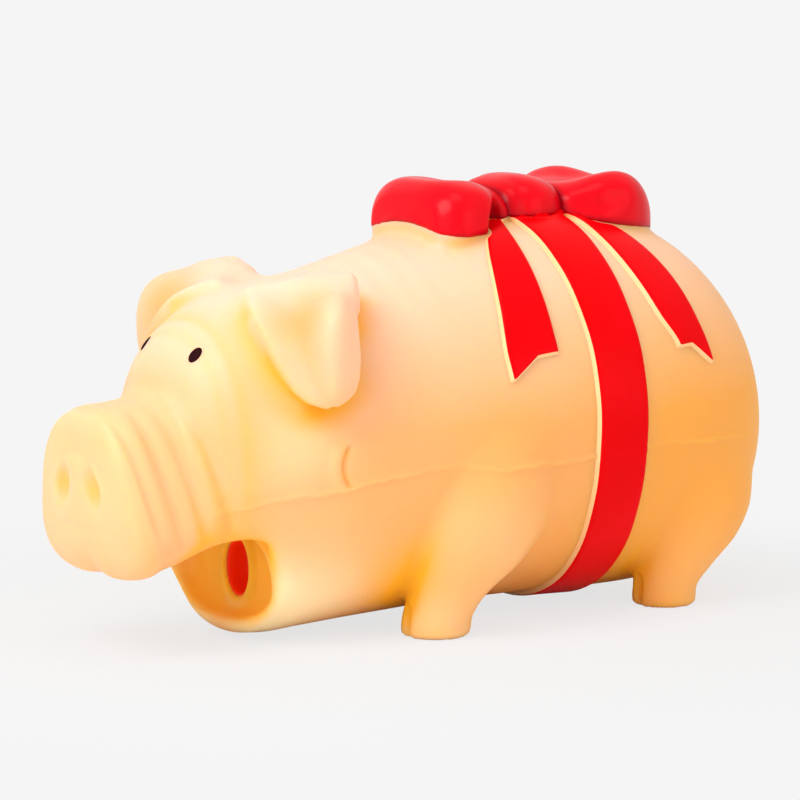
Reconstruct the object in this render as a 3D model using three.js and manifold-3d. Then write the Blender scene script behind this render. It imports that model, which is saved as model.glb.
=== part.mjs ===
import * as THREE from "three";
import { mergeVertices } from "three/addons/utils/BufferGeometryUtils.js";
import Module from "manifold-3d";

// A squeezable latex pig for dogs, wrapped in a red ribbon with a bow, with a grunter in its wadding.
// Millimetres, +Z up. The pig stands on its four soles at Z = 0 and looks along -Y; its left is +X.

const wasm = await Module();
wasm.setup();

// Driving dimensions

const SKIN_WALL = 2.4;
const FIT_GAP = 0.35;

// Trunk and skull, nose to tail: y, half width, top, bottom, roundness (2 is an ellipse)
const TRUNK = [
  [-75.6, 10.0, 60.0, 38.0, 2.2],
  [-72, 17.6, 68.4, 24.0, 2.2],
  [-66, 24.5, 74.5, 12.0, 2.2],
  [-58, 28.5, 79.0, 3.0, 2.2],
  [-50, 31.5, 81.7, 1.0, 2.2],
  [-40, 34.5, 83.4, 1.4, 2.15],
  [-28, 37.0, 85.3, 2.0, 2.1],
  [-16, 39.0, 88.2, 2.4, 2.05],
  [-6, 40.7, 90.8, 2.7, 2.0],
  [2, 41.8, 92.9, 2.8, 2.0],
  [12, 42.8, 94.9, 2.8, 2.0],
  [30, 44.0, 96.5, 2.6, 2.0],
  [50, 43.8, 95.2, 2.0, 2.0],
  [66, 41.2, 90.8, 2.8, 2.0],
  [78, 36.0, 82.4, 6.6, 2.0],
  [87, 26.6, 71.0, 14.6, 2.0],
  [93, 15.0, 57.0, 26.8, 2.0],
  [95, 6.5, 48.0, 36.0, 2.0],
];

// Snout, from the flat disc back into the cheeks, in the same terms
const SNOUT = [
  [-95, 14.0, 50.5, 25.0, 2.8],
  [-94, 17.4, 54.0, 21.4, 3.0],
  [-92, 19.6, 56.2, 18.6, 3.1],
  [-88, 20.6, 57.2, 17.9, 3.2],
  [-84, 20.2, 57.5, 18.8, 3.0],
  [-78, 20.8, 58.2, 20.4, 2.9],
  [-70, 23.2, 60.0, 23.4, 2.8],
  [-60, 27.4, 62.5, 26.2, 2.7],
  [-50, 29.8, 64.0, 28.0, 2.5],
  [-44, 28.0, 62.0, 31.0, 2.3],
];
// It leans back towards the chin below one height, and widens towards the chin about another
const SNOUT_LEAN = 0.1;
const SNOUT_LEAN_TOP = 45;
const SNOUT_FLARE = 0.013;
const SNOUT_FLARE_MIDDLE = 36;
const SNOUT_FLARE_LENGTH = 30;

// Open mouth: where the lower jaw ends, the cup in it and the oval throat hole
const JAW_FRONT = -56.5;
const MOUTH_CUT_TOP = 31;
const CUP_DEPTH = 6.5;
const CUP_HALF_WIDTH = 18.6;
const CUP_TOP = 26.4;
const CUP_RIM = 3.4;
const CUP_ROUNDNESS = 2.3;
// Mouth cup from before its rim to its back: share of the depth, inset at the side, at the top, at the floor
const CUP_SHAPE = [
  [-0.46, -1, 0, -0.6],
  [0, 0, 0, 0],
  [0.6, 1.4, 0.4, 1.2],
  [1, 4.4, 1.8, 3.6],
];
const THROAT_HEIGHT = 16.2;
const THROAT_WIDTH = 9.8;
const THROAT_TALL = 13.6;
const THROAT_WALL = 1.0;
const THROAT_RECESS = 0.5;
const SOUND_HOLE_RADIUS = 2.6;

// Legs, from the sole up into the trunk: z, x, y, half width along x, half width along y
const FRONT_LEG = [
  [0, 27.0, -12.8, 6.9, 7.1],
  [0.9, 27.0, -12.8, 7.9, 8.1],
  [5, 27.4, -12.4, 8.1, 8.4],
  [10, 28.8, -10.6, 8.8, 9.6],
  [17, 30.8, -6.8, 10.8, 13.8],
  [26, 31.8, -3.2, 12.4, 17.2],
  [36, 31.6, -0.8, 12.6, 16.8],
  [47, 29.6, 0.8, 12.0, 13.4],
  [57, 26.4, 2.0, 8.0, 7.0],
];
const REAR_LEG = [
  [0, 27.0, 56.7, 6.5, 6.7],
  [0.9, 27.0, 56.7, 7.5, 7.7],
  [5, 27.2, 57.0, 7.7, 8.0],
  [10, 27.8, 59.0, 9.2, 10.0],
  [17, 28.0, 62.0, 11.6, 14.2],
  [26, 27.8, 63.4, 13.2, 17.0],
  [36, 26.8, 62.6, 13.6, 16.4],
  [47, 25.0, 60.0, 12.0, 12.0],
  [56, 22.0, 57.0, 7.0, 7.0],
];

// Left ear: its attached front rim and its free rear edge, both from the crown down to the tip
const EAR_THICKNESS = 2.8;
const EAR_DISH = 3.0;
const EAR_ROOT_DEPTH = 9;
const EAR_RIM = [
  [8.5, -51.5, 82.5],
  [17.2, -56.9, 78.6],
  [26.4, -57.8, 70.4],
  [32.3, -54.8, 62.6],
  [36.8, -50.0, 57.8],
];
const EAR_RIDGE = [
  [17.0, -43.5, 84.4],
  [30.0, -44.0, 83.2],
  [37.0, -47.8, 83.2],
  [40.8, -50.0, 80.2],
  [41.6, -51.6, 74.8],
  [40.5, -51.8, 67.6],
  [37.4, -50.4, 58.2],
];
const EAR_EDGE = [
  [18.5, -35.6, 84.4],
  [25.0, -35.2, 86.2],
  [33.0, -39.8, 83.2],
  [39.3, -44.0, 76.5],
  [40.5, -45.5, 68.0],
  [38.0, -49.8, 58.6],
];
const EAR_ROOT = [17, -44, 66];
const EAR_ROWS = 11;
const EAR_COLUMNS = 9;
const EAR_TIP_SHARE = 0.97;

// Eyes: flat oval coats on the brow
const EYE_PLACE = [-69.2, 60];
const EYE_WIDTH = 2.8;
const EYE_HEIGHT = 4.6;
const EYE_RELIEF = 0.7;

// Ribbon: the band round the belly and four tails, in station y and angle up from the flank, degrees
const RIBBON_RELIEF = 1.1;
const BAND_WIDTH = 14.4;
const BAND_LINE = [
  [90, 29.2],
  [60, 28.8],
  [30, 29.2],
  [0, 29.6],
  [-30, 31.0],
  [-60, 34.0],
  [-90, 35.5],
];
const TAIL_TOP_ANGLE = 70;
const FRONT_TAIL = {
  fore: [[70, 11.0], [60, 6.6], [50, 3.6], [40, 1.4], [26, -0.6], [16.5, -0.4]],
  aft: [[70, 17.2], [60, 15.6], [50, 14.6], [40, 13.8], [28, 13.2], [21.6, 13.2]],
  notch: [21.6, 7.4],
};
const REAR_TAIL = {
  fore: [[70, 38.6], [60, 39.4], [50, 40.6], [40, 42.4], [30, 44.8], [20.6, 48.6]],
  aft: [[70, 46.4], [60, 50.0], [50, 53.0], [40, 55.4], [30, 57.2], [16.6, 59.4]],
  notch: [21.4, 53.0],
};

// Bow on the back: knot and two loops, as y, half width, top
const BOW_SINK = 8;
const BOW_ROUNDNESS = 2.7;
const KNOT = [
  [19.4, 8.4, 100.8],
  [21.4, 10.8, 103.2],
  [25.0, 12.2, 104.6],
  [29.0, 12.8, 105.0],
  [33.0, 12.2, 104.4],
  [36.6, 10.8, 103.0],
  [38.6, 8.4, 100.8],
];
const FRONT_LOOP = [
  [-2.8, 9.4, 97.4],
  [-2.2, 12.8, 100.8],
  [-0.6, 15.2, 103.2],
  [2, 17.0, 104.8],
  [6, 17.9, 105.2],
  [11, 16.8, 104.8],
  [15.5, 14.0, 103.5],
  [19.2, 11.4, 101.8],
];
const REAR_LOOP = [
  [38.8, 13.8, 102.4],
  [42, 15.6, 103.8],
  [47, 17.4, 105.8],
  [53, 17.4, 106.7],
  [58, 15.8, 105.8],
  [62, 13.4, 103.2],
  [64.8, 10.6, 99.6],
  [66, 7.6, 96.2],
];
const LOOP_DISH = 5.0;
// The skin rises under the front loop as the back would if it stood this much further forward
const PLINTH_LEAD = 8;

// Wadding and the grunter that lies in it, its axis rising from the throat towards the tail
const HEAD_CAVITY_FRONT = -90;
const CAVITY_FRONT = -46;
const CAVITY_REAR = 91;
const HEAD_CAVITY_FLOOR = 30;
const SKULL_CAVITY_FRONT = -69;
const SNOUT_CAVITY_REAR = -50;
const TRUNK_ROOM_STEPS = 16;
const SNOUT_ROOM_STEPS = 5;
const WADDING_SPLIT = -42;
const GRUNTER_TILT = 18;
const NOZZLE_RADIUS = 3.2;
const NOZZLE_LENGTH = 4;
const HOUSING_RADIUS = 11;
const HOUSING_LENGTH = 18;
const HOUSING_SHOULDER = 4;
const HOUSING_WALL = 1.2;
const BELLOWS_RADIUS = 15;
const BELLOWS_NECK = 10.4;
const BELLOWS_LENGTH = 32;
const BELLOWS_FOLDS = 6;
const BELLOWS_WALL = 0.9;
const END_CAP_THICKNESS = 3;
const END_CAP_BEVEL = 1;
const END_CAP_DISH = 1.2;
const REED_BLOCK_THICKNESS = 2.4;
const REED_LENGTH = 13;
const REED_WIDTH = 4.6;
const REED_THICKNESS = 0.4;
const REED_SLOT = 3.4;
const REED_CLIP = 3.0;
const REED_CLIP_BAR = 1.4;
// The reed laps the slot by this much at both of the slot's ends
const REED_LAP = 1;
// The wadding stays open this far ahead of the nozzle's tip
const NOZZLE_APPROACH = 12;

// Filling port under the belly, closed by a glued patch
const PORT_PLACE = 8;
const PORT_RADIUS = 7;

const SIDES = 36;
const LEG_SIDES = 18;
const CAVITY_SIDES = 24;
const BOW_SIDES = 24;
const CUP_SIDES = 32;
const TURNED_SIDES = 20;
const ROUND_SIDES = 28;

// Cutters run this far past the pig, and this far past a face that they open
const CUTTER_REACH = 150;
const CUTTER_MARGIN = 3;

// Small helpers

const degrees = (angle) => (angle * Math.PI) / 180;
const mix = (a, b, t) => a + (b - a) * t;
const signedPower = (value, power) => Math.sign(value) * Math.abs(value) ** power;
const smooth = (a, b, value) => THREE.MathUtils.smoothstep(value, a, b);

// A smooth curve through table rows whose first column is the parameter
function rowAt(table, parameter) {
  const last = table.length - 1;
  const slope = (i, column) => {
    const lo = Math.max(i - 1, 0);
    const hi = Math.min(i + 1, last);
    return (table[hi][column] - table[lo][column]) / (table[hi][0] - table[lo][0]);
  };
  const rising = table[last][0] > table[0][0];
  let i = 0;
  while (i < last - 1 && (rising ? parameter > table[i + 1][0] : parameter < table[i + 1][0])) {
    i += 1;
  }
  const span = table[i + 1][0] - table[i][0];
  const t = THREE.MathUtils.clamp((parameter - table[i][0]) / span, 0, 1);
  const row = [parameter];
  for (let column = 1; column < table[0].length; column += 1) {
    const a = table[i][column];
    const b = table[i + 1][column];
    const ta = slope(i, column) * span;
    const tb = slope(i + 1, column) * span;
    const blend = (2 * t ** 3 - 3 * t ** 2 + 1) * a + (3 * t ** 2 - 2 * t ** 3) * b;
    row.push(blend + (t ** 3 - 2 * t ** 2 + t) * ta + (t ** 3 - t ** 2) * tb);
  }
  return row;
}

// Stations of a table, with extra ones between each pair
function stationsOf(table, extra) {
  const stations = [];
  for (let i = 0; i < table.length - 1; i += 1) {
    for (let k = 0; k < extra; k += 1) {
      stations.push(mix(table[i][0], table[i + 1][0], k / extra));
    }
  }
  stations.push(table[table.length - 1][0]);
  return stations;
}

// Closed body from rings of points, each ring counter-clockwise seen from the last ring
function loft(rings) {
  const count = rings[0].length;
  const points = rings.flat();
  const indices = [];
  for (let r = 0; r < rings.length - 1; r += 1) {
    for (let s = 0; s < count; s += 1) {
      const a = r * count + s;
      const b = r * count + ((s + 1) % count);
      indices.push(a, b, a + count, b, b + count, a + count);
    }
  }
  const first = points.length;
  const centre = (ring) => ring.reduce((sum, p) => sum.add(p), new THREE.Vector3()).divideScalar(count);
  points.push(centre(rings[0]), centre(rings[rings.length - 1]));
  const tail = (rings.length - 1) * count;
  for (let s = 0; s < count; s += 1) {
    const next = (s + 1) % count;
    indices.push(first, next, s);
    indices.push(first + 1, tail + s, tail + next);
  }
  const geometry = new THREE.BufferGeometry().setFromPoints(points);
  geometry.setIndex(indices);
  return geometry;
}

// Turns a closed geometry so that its faces point out
function outward(geometry) {
  const position = geometry.attributes.position;
  const index = geometry.index.array;
  const [a, b, c] = [new THREE.Vector3(), new THREE.Vector3(), new THREE.Vector3()];
  let volume = 0;
  for (let i = 0; i < index.length; i += 3) {
    a.fromBufferAttribute(position, index[i]);
    b.fromBufferAttribute(position, index[i + 1]);
    c.fromBufferAttribute(position, index[i + 2]);
    volume += a.dot(b.cross(c)) / 6;
  }
  if (volume < 0) {
    for (let i = 0; i < index.length; i += 3) {
      [index[i], index[i + 1]] = [index[i + 1], index[i]];
    }
  }
  return geometry;
}

// The same shape with its shared corners merged and its faces pointing out
function closedBody(geometry) {
  const bare = geometry.clone();
  bare.deleteAttribute("normal");
  bare.deleteAttribute("uv");
  return outward(mergeVertices(bare, 1e-4));
}

function toSolid(geometry) {
  const merged = closedBody(geometry);
  const mesh = new wasm.Mesh({
    numProp: 3,
    vertProperties: new Float32Array(merged.attributes.position.array),
    triVerts: new Uint32Array(merged.index.array),
  });
  return new wasm.Manifold(mesh);
}

function toGeometry(solid) {
  const mesh = solid.getMesh();
  const geometry = new THREE.BufferGeometry();
  geometry.setAttribute("position", new THREE.BufferAttribute(mesh.vertProperties, 3));
  geometry.setIndex(new THREE.BufferAttribute(mesh.triVerts, 1));
  geometry.computeVertexNormals();
  return geometry;
}

// Trunk surface, and sections drawn in or out by an offset

function ringAcross(y, halfWidth, top, bottom, power, sides) {
  const middle = (top + bottom) / 2;
  const half = (top - bottom) / 2;
  return Array.from({ length: sides }, (_, s) => {
    const angle = (-2 * Math.PI * s) / sides;
    const x = halfWidth * signedPower(Math.cos(angle), 2 / power);
    const z = middle + half * signedPower(Math.sin(angle), 2 / power);
    return new THREE.Vector3(x, y, z);
  });
}

// A point of the upright snout where the leaning one has it
function leant(point) {
  const rear = SNOUT[SNOUT.length - 1][0];
  const share = THREE.MathUtils.clamp((rear - point.y) / SNOUT_FLARE_LENGTH, 0, 1);
  const flare = SNOUT_FLARE * share * (SNOUT_FLARE_MIDDLE - point.z);
  const lean = SNOUT_LEAN * Math.max(SNOUT_LEAN_TOP - point.z, 0);
  return new THREE.Vector3(point.x * (1 + flare), point.y + lean, point.z);
}

function sectionRing(table, y, offset, sides) {
  const [, halfWidth, top, bottom, power] = rowAt(table, y);
  const ring = ringAcross(y, halfWidth + offset, top + offset, bottom - offset, power, sides);
  return table === SNOUT ? ring.map(leant) : ring;
}

function bodyAlong(table, offset, extra, sides) {
  return toSolid(loft(stationsOf(table, extra).map((y) => sectionRing(table, y, offset, sides))));
}

function trunkPoint(y, angleDegrees, offset) {
  const [, halfWidth, top, bottom, power] = rowAt(TRUNK, y);
  const angle = degrees(angleDegrees);
  const half = (top - bottom) / 2;
  return new THREE.Vector3(
    (halfWidth + offset) * signedPower(Math.cos(angle), 2 / power),
    y,
    (top + bottom) / 2 + (half + offset) * signedPower(Math.sin(angle), 2 / power),
  );
}

// Legs

function leg(table, side) {
  const rings = table.map(([z, x, y, halfX, halfY]) => {
    return Array.from({ length: LEG_SIDES }, (_, s) => {
      const angle = (2 * Math.PI * s) / LEG_SIDES;
      return new THREE.Vector3(side * x + halfX * Math.cos(angle), y + halfY * Math.sin(angle), z);
    });
  });
  return toSolid(loft(rings));
}

// Ears: a dished leaf between its rim and its free edge, rooted in the side of the skull

function ear(side) {
  const [rim, ridge, edge] = [EAR_RIM, EAR_RIDGE, EAR_EDGE].map(
    (line) => new THREE.CatmullRomCurve3(line.map((p) => new THREE.Vector3(...p))),
  );
  const root = new THREE.Vector3(...EAR_ROOT);
  const rings = [];
  for (let r = 0; r <= EAR_ROWS; r += 1) {
    const down = r / EAR_ROWS;
    const across = [rim, ridge, edge].map((line) => line.getPointAt(down * EAR_TIP_SHARE));
    const dip = across[0].clone().lerp(across[1], 0.5);
    dip.addScaledVector(root.clone().sub(dip).normalize(), EAR_DISH * Math.sin(Math.PI * down));
    const line = new THREE.CatmullRomCurve3([across[0], dip, across[1], across[2]]).getPoints(EAR_COLUMNS);
    const back = line.map((point, c) => {
      const inward = root.clone().sub(point).normalize();
      const atRim = EAR_ROOT_DEPTH * (1 - smooth(0, 0.5, c / EAR_COLUMNS));
      const atCrown = EAR_ROOT_DEPTH * (1 - smooth(0, 0.25, down));
      return point.clone().addScaledVector(inward, EAR_THICKNESS + Math.max(atRim, atCrown));
    });
    rings.push([...line, ...back.reverse()].reverse());
  }
  const solid = toSolid(loft(rings));
  return side > 0 ? solid : solid.mirror([1, 0, 0]);
}

// Skin: one hollow moulding

function prismAcross(outline, halfWidth) {
  const shape = new THREE.Shape(outline.map(([y, z]) => new THREE.Vector2(y, z)));
  const geometry = new THREE.ExtrudeGeometry(shape, { depth: 2 * halfWidth, bevelEnabled: false });
  geometry.translate(0, 0, -halfWidth);
  geometry.applyMatrix4(new THREE.Matrix4().makeBasis(
    new THREE.Vector3(0, 1, 0),
    new THREE.Vector3(0, 0, 1),
    new THREE.Vector3(1, 0, 0),
  ));
  return toSolid(geometry);
}

// Everything between two stations and two heights
function slab(from, to, low = -CUTTER_REACH, high = CUTTER_REACH) {
  return prismAcross([[from, low], [to, low], [to, high], [from, high]], CUTTER_REACH);
}

// Stations that crowd towards both ends
function cavityStations(from, to, steps) {
  const share = (i) => (1 - Math.cos((Math.PI * i) / steps)) / 2;
  return Array.from({ length: steps + 1 }, (_, i) => mix(from, to, share(i)));
}

// The room inside the skin: trunk and skull, clear of the mouth, and the snout. A draw shrinks it all round
function cavity(draw) {
  const room = (table, from, to, steps) => toSolid(loft(cavityStations(from + draw, to, steps).map(
    (y) => sectionRing(table, y, -SKIN_WALL - draw, CAVITY_SIDES),
  )));
  const mouthFloor = slab(-CUTTER_REACH, CAVITY_FRONT + draw, -CUTTER_REACH, HEAD_CAVITY_FLOOR + draw);
  const trunk = room(TRUNK, SKULL_CAVITY_FRONT, CAVITY_REAR, TRUNK_ROOM_STEPS).subtract(mouthFloor);
  const snout = room(SNOUT, HEAD_CAVITY_FRONT, SNOUT_CAVITY_REAR, SNOUT_ROOM_STEPS);
  return trunk.add(snout).intersect(slab(HEAD_CAVITY_FRONT + draw, CAVITY_REAR - draw));
}

function ovalAlongY(width, tall, height, from, to) {
  const shape = new THREE.Shape();
  shape.absellipse(0, 0, width / 2, tall / 2, 0, 2 * Math.PI);
  const geometry = new THREE.ExtrudeGeometry(shape, {
    depth: to - from,
    bevelEnabled: false,
    curveSegments: ROUND_SIDES / 2,
  });
  geometry.rotateX(Math.PI / 2);
  geometry.translate(0, to, height);
  return toSolid(geometry);
}

function upright(radius, x, y, from, to) {
  const geometry = new THREE.CylinderGeometry(radius, radius, to - from, ROUND_SIDES);
  geometry.rotateX(Math.PI / 2);
  geometry.translate(x, y, (from + to) / 2);
  return toSolid(geometry);
}

const CUP_BACK = JAW_FRONT + CUP_DEPTH;
const THROAT_BACK = CAVITY_FRONT + 2;
const BELLY = rowAt(TRUNK, PORT_PLACE)[3];

function cupCutter() {
  const floor = rowAt(TRUNK, JAW_FRONT)[3] + CUP_RIM;
  return toSolid(loft(CUP_SHAPE.map(([depth, inset, drop, rise]) => {
    const y = JAW_FRONT + CUP_DEPTH * depth;
    return ringAcross(y, CUP_HALF_WIDTH - inset, CUP_TOP - drop, floor + rise, CUP_ROUNDNESS, CUP_SIDES);
  })));
}

function portCutter(draw) {
  const from = BELLY - CUTTER_MARGIN;
  const to = BELLY + SKIN_WALL + CUTTER_MARGIN;
  return upright(PORT_RADIUS - draw, 0, PORT_PLACE, from, to);
}

function latexSkin() {
  const mouth = slab(-CUTTER_REACH, JAW_FRONT, -CUTTER_REACH, MOUTH_CUT_TOP);
  const throat = ovalAlongY(THROAT_WIDTH, THROAT_TALL, THROAT_HEIGHT, CUP_BACK - 1, THROAT_BACK);
  let skin = bodyAlong(TRUNK, 0, 2, SIDES).subtract(mouth);
  skin = skin.add(bodyAlong(SNOUT, 0, 1, SIDES));
  for (const side of [1, -1]) {
    skin = skin.add(leg(FRONT_LEG, side)).add(leg(REAR_LEG, side)).add(ear(side));
  }
  skin = skin.add(clearOfTails(bowPiece(FRONT_LOOP, 0, 0).intersect(raisedBack(0)), FRONT_TAIL));
  skin = skin.subtract(cavity(0));
  return toGeometry(skin.subtract(cupCutter()).subtract(throat).subtract(portCutter(0)));
}

function portPatch() {
  const shell = bodyAlong(TRUNK, 0, 2, SIDES).subtract(bodyAlong(TRUNK, -SKIN_WALL, 2, SIDES));
  return toGeometry(portCutter(FIT_GAP).intersect(shell));
}

function throatLiner() {
  const back = THROAT_BACK;
  const face = CUP_BACK + THROAT_RECESS;
  const width = THROAT_WIDTH - 2 * FIT_GAP;
  const tall = THROAT_TALL - 2 * FIT_GAP;
  const inner = [width - 2 * THROAT_WALL, tall - 2 * THROAT_WALL];
  let liner = ovalAlongY(width, tall, THROAT_HEIGHT, face, back);
  liner = liner.subtract(ovalAlongY(...inner, THROAT_HEIGHT, face - 1, back - THROAT_WALL));
  const hole = 2 * SOUND_HOLE_RADIUS;
  return toGeometry(liner.subtract(
    ovalAlongY(hole, hole, THROAT_HEIGHT, back - CUTTER_MARGIN, back + CUTTER_MARGIN),
  ));
}

// Coats and ribbons: strips that follow the trunk at a given relief

// A strip between two lines of [angle, station], sampled along and across
function strip(foreLine, aftLine, steps, across, low, high) {
  const bottom = [];
  const top = [];
  for (let i = 0; i <= steps; i += 1) {
    for (let k = 0; k <= across; k += 1) {
      const fore = foreLine(i / steps);
      const aft = aftLine(i / steps);
      const angle = mix(fore[0], aft[0], k / across);
      const y = mix(fore[1], aft[1], k / across);
      bottom.push(trunkPoint(y, angle, low));
      top.push(trunkPoint(y, angle, high));
    }
  }
  return { bottom, top };
}

function sheetSolid(bottom, top, rows, columns, closed) {
  const points = [...bottom, ...top];
  const indices = [];
  const size = bottom.length;
  const at = (row, column) => (row % rows) * columns + column;
  const quad = (a, b, c, d) => indices.push(a, b, c, a, c, d);
  const lastRow = closed ? rows : rows - 1;
  for (let r = 0; r < lastRow; r += 1) {
    for (let c = 0; c < columns - 1; c += 1) {
      quad(at(r, c), at(r, c + 1), at(r + 1, c + 1), at(r + 1, c));
      quad(size + at(r, c), size + at(r + 1, c), size + at(r + 1, c + 1), size + at(r, c + 1));
    }
    quad(at(r, 0), at(r + 1, 0), size + at(r + 1, 0), size + at(r, 0));
    const end = columns - 1;
    quad(at(r, end), size + at(r, end), size + at(r + 1, end), at(r + 1, end));
  }
  if (!closed) {
    for (let c = 0; c < columns - 1; c += 1) {
      const last = rows - 1;
      quad(at(0, c), size + at(0, c), size + at(0, c + 1), at(0, c + 1));
      quad(at(last, c), at(last, c + 1), size + at(last, c + 1), size + at(last, c));
    }
  }
  const geometry = new THREE.BufferGeometry().setFromPoints(points);
  geometry.setIndex(indices);
  return geometry;
}

function ribbonBand() {
  const steps = 60;
  const across = 2;
  const line = (t) => {
    const angle = 90 - 360 * t;
    const folded = angle < -90 ? -180 - angle : angle;
    return [angle, rowAt(BAND_LINE, folded)[1]];
  };
  const fore = (t) => [line(t)[0], line(t)[1] - BAND_WIDTH / 2];
  const aft = (t) => [line(t)[0], line(t)[1] + BAND_WIDTH / 2];
  const { bottom, top } = strip(fore, aft, steps, across, FIT_GAP, FIT_GAP + RIBBON_RELIEF);
  const used = steps * (across + 1);
  return closedBody(sheetSolid(bottom.slice(0, used), top.slice(0, used), steps, across + 1, true));
}

// One ribbon end with its notched tip. A grown one clears a space for it
function tail(shape, side, grown = 0) {
  const steps = 9;
  const columns = 4;
  const bottom = [];
  const top = [];
  const foreEnd = shape.fore[shape.fore.length - 1][0];
  const aftEnd = shape.aft[shape.aft.length - 1][0];
  for (let i = 0; i <= steps; i += 1) {
    for (let k = 0; k <= columns; k += 1) {
      const share = k / columns;
      const ends = [foreEnd, shape.notch[0], aftEnd];
      const lower = share < 0.5 ? mix(ends[0], ends[1], share * 2) : mix(ends[1], ends[2], share * 2 - 1);
      const angle = mix(TAIL_TOP_ANGLE + grown, lower, i / steps);
      const fore = rowAt(shape.fore, Math.max(angle, foreEnd))[1] - grown;
      const aft = rowAt(shape.aft, Math.max(angle, aftEnd))[1] + grown;
      const y = mix(fore, aft, share);
      const mirrored = side > 0 ? angle : 180 - angle;
      bottom.push(trunkPoint(y, mirrored, FIT_GAP - grown));
      top.push(trunkPoint(y, mirrored, FIT_GAP + RIBBON_RELIEF + grown));
    }
  }
  return closedBody(sheetSolid(bottom, top, steps + 1, columns + 1, false));
}

function eye(side) {
  const [place, angle] = EYE_PLACE;
  const centre = trunkPoint(place, angle, 0);
  const out = trunkPoint(place, angle, 1).sub(centre);
  const step = trunkPoint(place + 1, angle, 0).sub(trunkPoint(place - 1, angle, 0));
  const normal = out.clone().cross(step).cross(step).negate().normalize();
  const up = new THREE.Vector3(0, 0, 1).addScaledVector(normal, -normal.z).normalize();
  const along = up.clone().cross(normal);
  const disc = new THREE.SphereGeometry(1, 16, 8);
  const basis = new THREE.Matrix4().makeBasis(
    along.clone().multiplyScalar(EYE_WIDTH / 2),
    up.clone().multiplyScalar(EYE_HEIGHT / 2),
    normal.clone().multiplyScalar(EYE_RELIEF + FIT_GAP),
  );
  disc.applyMatrix4(basis);
  disc.translate(centre.x, centre.y, centre.z);
  let solid = toSolid(disc).subtract(bodyAlong(TRUNK, FIT_GAP, 2, SIDES));
  if (side < 0) {
    solid = solid.mirror([1, 0, 0]);
  }
  return toGeometry(solid);
}

// Bow

function bowPiece(table, offset, dish) {
  const [first, last] = [table[0][0], table[table.length - 1][0]];
  const rings = table.map(([y, halfWidth, top]) => {
    const low = rowAt(TRUNK, y)[2] - BOW_SINK;
    const ring = ringAcross(y, halfWidth + offset, top + offset, low, BOW_ROUNDNESS, BOW_SIDES);
    const depth = dish * Math.sin((Math.PI * (y - first)) / (last - first)) ** 2;
    ring.forEach((point) => {
      const centred = 1 - smooth(0, 0.75, Math.abs(point.x) / halfWidth);
      point.z -= depth * centred * smooth(low, top, point.z);
    });
    return ring;
  });
  return toSolid(loft(rings));
}

function bowKnot() {
  const seat = bodyAlong(TRUNK, 2 * FIT_GAP + RIBBON_RELIEF, 2, SIDES);
  return toGeometry(bowPiece(KNOT, 0, 0).subtract(seat));
}

// The back's surface under the front loop
function raisedBack(offset) {
  return bodyAlong(TRUNK, offset, 2, SIDES).translate([0, -PLINTH_LEAD, 0]);
}

function clearOfTails(solid, tailShape) {
  const tails = [1, -1].map((side) => toSolid(tail(tailShape, side, FIT_GAP)));
  return solid.subtract(tails[0]).subtract(tails[1]);
}

function bowLoop(table, dish, tailShape, raised) {
  const flat = bodyAlong(TRUNK, FIT_GAP, 2, SIDES);
  const seat = raised ? flat.add(raisedBack(FIT_GAP)) : flat;
  const knot = bowPiece(KNOT, FIT_GAP, 0);
  const loop = bowPiece(table, 0, dish).subtract(seat).subtract(knot);
  return toGeometry(clearOfTails(loop, tailShape));
}

// Grunter, built along its own axis from the nozzle's tip and then tilted into place

function turned(profile) {
  return new THREE.LatheGeometry(profile.map(([r, s]) => new THREE.Vector2(r, s)), TURNED_SIDES);
}

const HOUSING_START = NOZZLE_LENGTH + HOUSING_SHOULDER;
const HOUSING_END = NOZZLE_LENGTH + HOUSING_LENGTH;
const BELLOWS_START = HOUSING_END + FIT_GAP;
const BELLOWS_END = BELLOWS_START + BELLOWS_LENGTH;
const CAP_START = BELLOWS_END + FIT_GAP;
const CAP_END = CAP_START + END_CAP_THICKNESS;
const REED_PLANE = HOUSING_START + HOUSING_WALL + FIT_GAP;

function voiceHousing() {
  const bore = NOZZLE_RADIUS - HOUSING_WALL;
  return closedBody(turned([
    [bore, 0],
    [NOZZLE_RADIUS, 0],
    [NOZZLE_RADIUS, NOZZLE_LENGTH],
    [HOUSING_RADIUS, HOUSING_START],
    [HOUSING_RADIUS, HOUSING_END],
    [HOUSING_RADIUS - HOUSING_WALL, HOUSING_END],
    [HOUSING_RADIUS - HOUSING_WALL, HOUSING_START + HOUSING_WALL],
    [bore, HOUSING_START + HOUSING_WALL],
    [bore, 0],
  ]));
}

function box(size, centre) {
  const geometry = new THREE.BoxGeometry(...size);
  geometry.translate(...centre);
  return geometry;
}

function reedBlock() {
  const radius = HOUSING_RADIUS - HOUSING_WALL - FIT_GAP;
  const disc = toSolid(turned([
    [0, REED_PLANE],
    [radius, REED_PLANE],
    [radius, REED_PLANE + REED_BLOCK_THICKNESS],
    [0, REED_PLANE + REED_BLOCK_THICKNESS],
  ]));
  const slot = toSolid(box(
    [REED_SLOT, REED_BLOCK_THICKNESS + CUTTER_MARGIN, REED_LENGTH - REED_CLIP - 2 * REED_LAP],
    [0, REED_PLANE + REED_BLOCK_THICKNESS / 2, REED_CLIP / 2],
  ));
  return toGeometry(disc.subtract(slot));
}

const REED_BOTTOM = REED_PLANE + REED_BLOCK_THICKNESS + FIT_GAP;
const REED_TOP = REED_BOTTOM + REED_THICKNESS;

function reed() {
  return box([REED_WIDTH, REED_THICKNESS, REED_LENGTH], [0, (REED_BOTTOM + REED_TOP) / 2, 0]);
}

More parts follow.
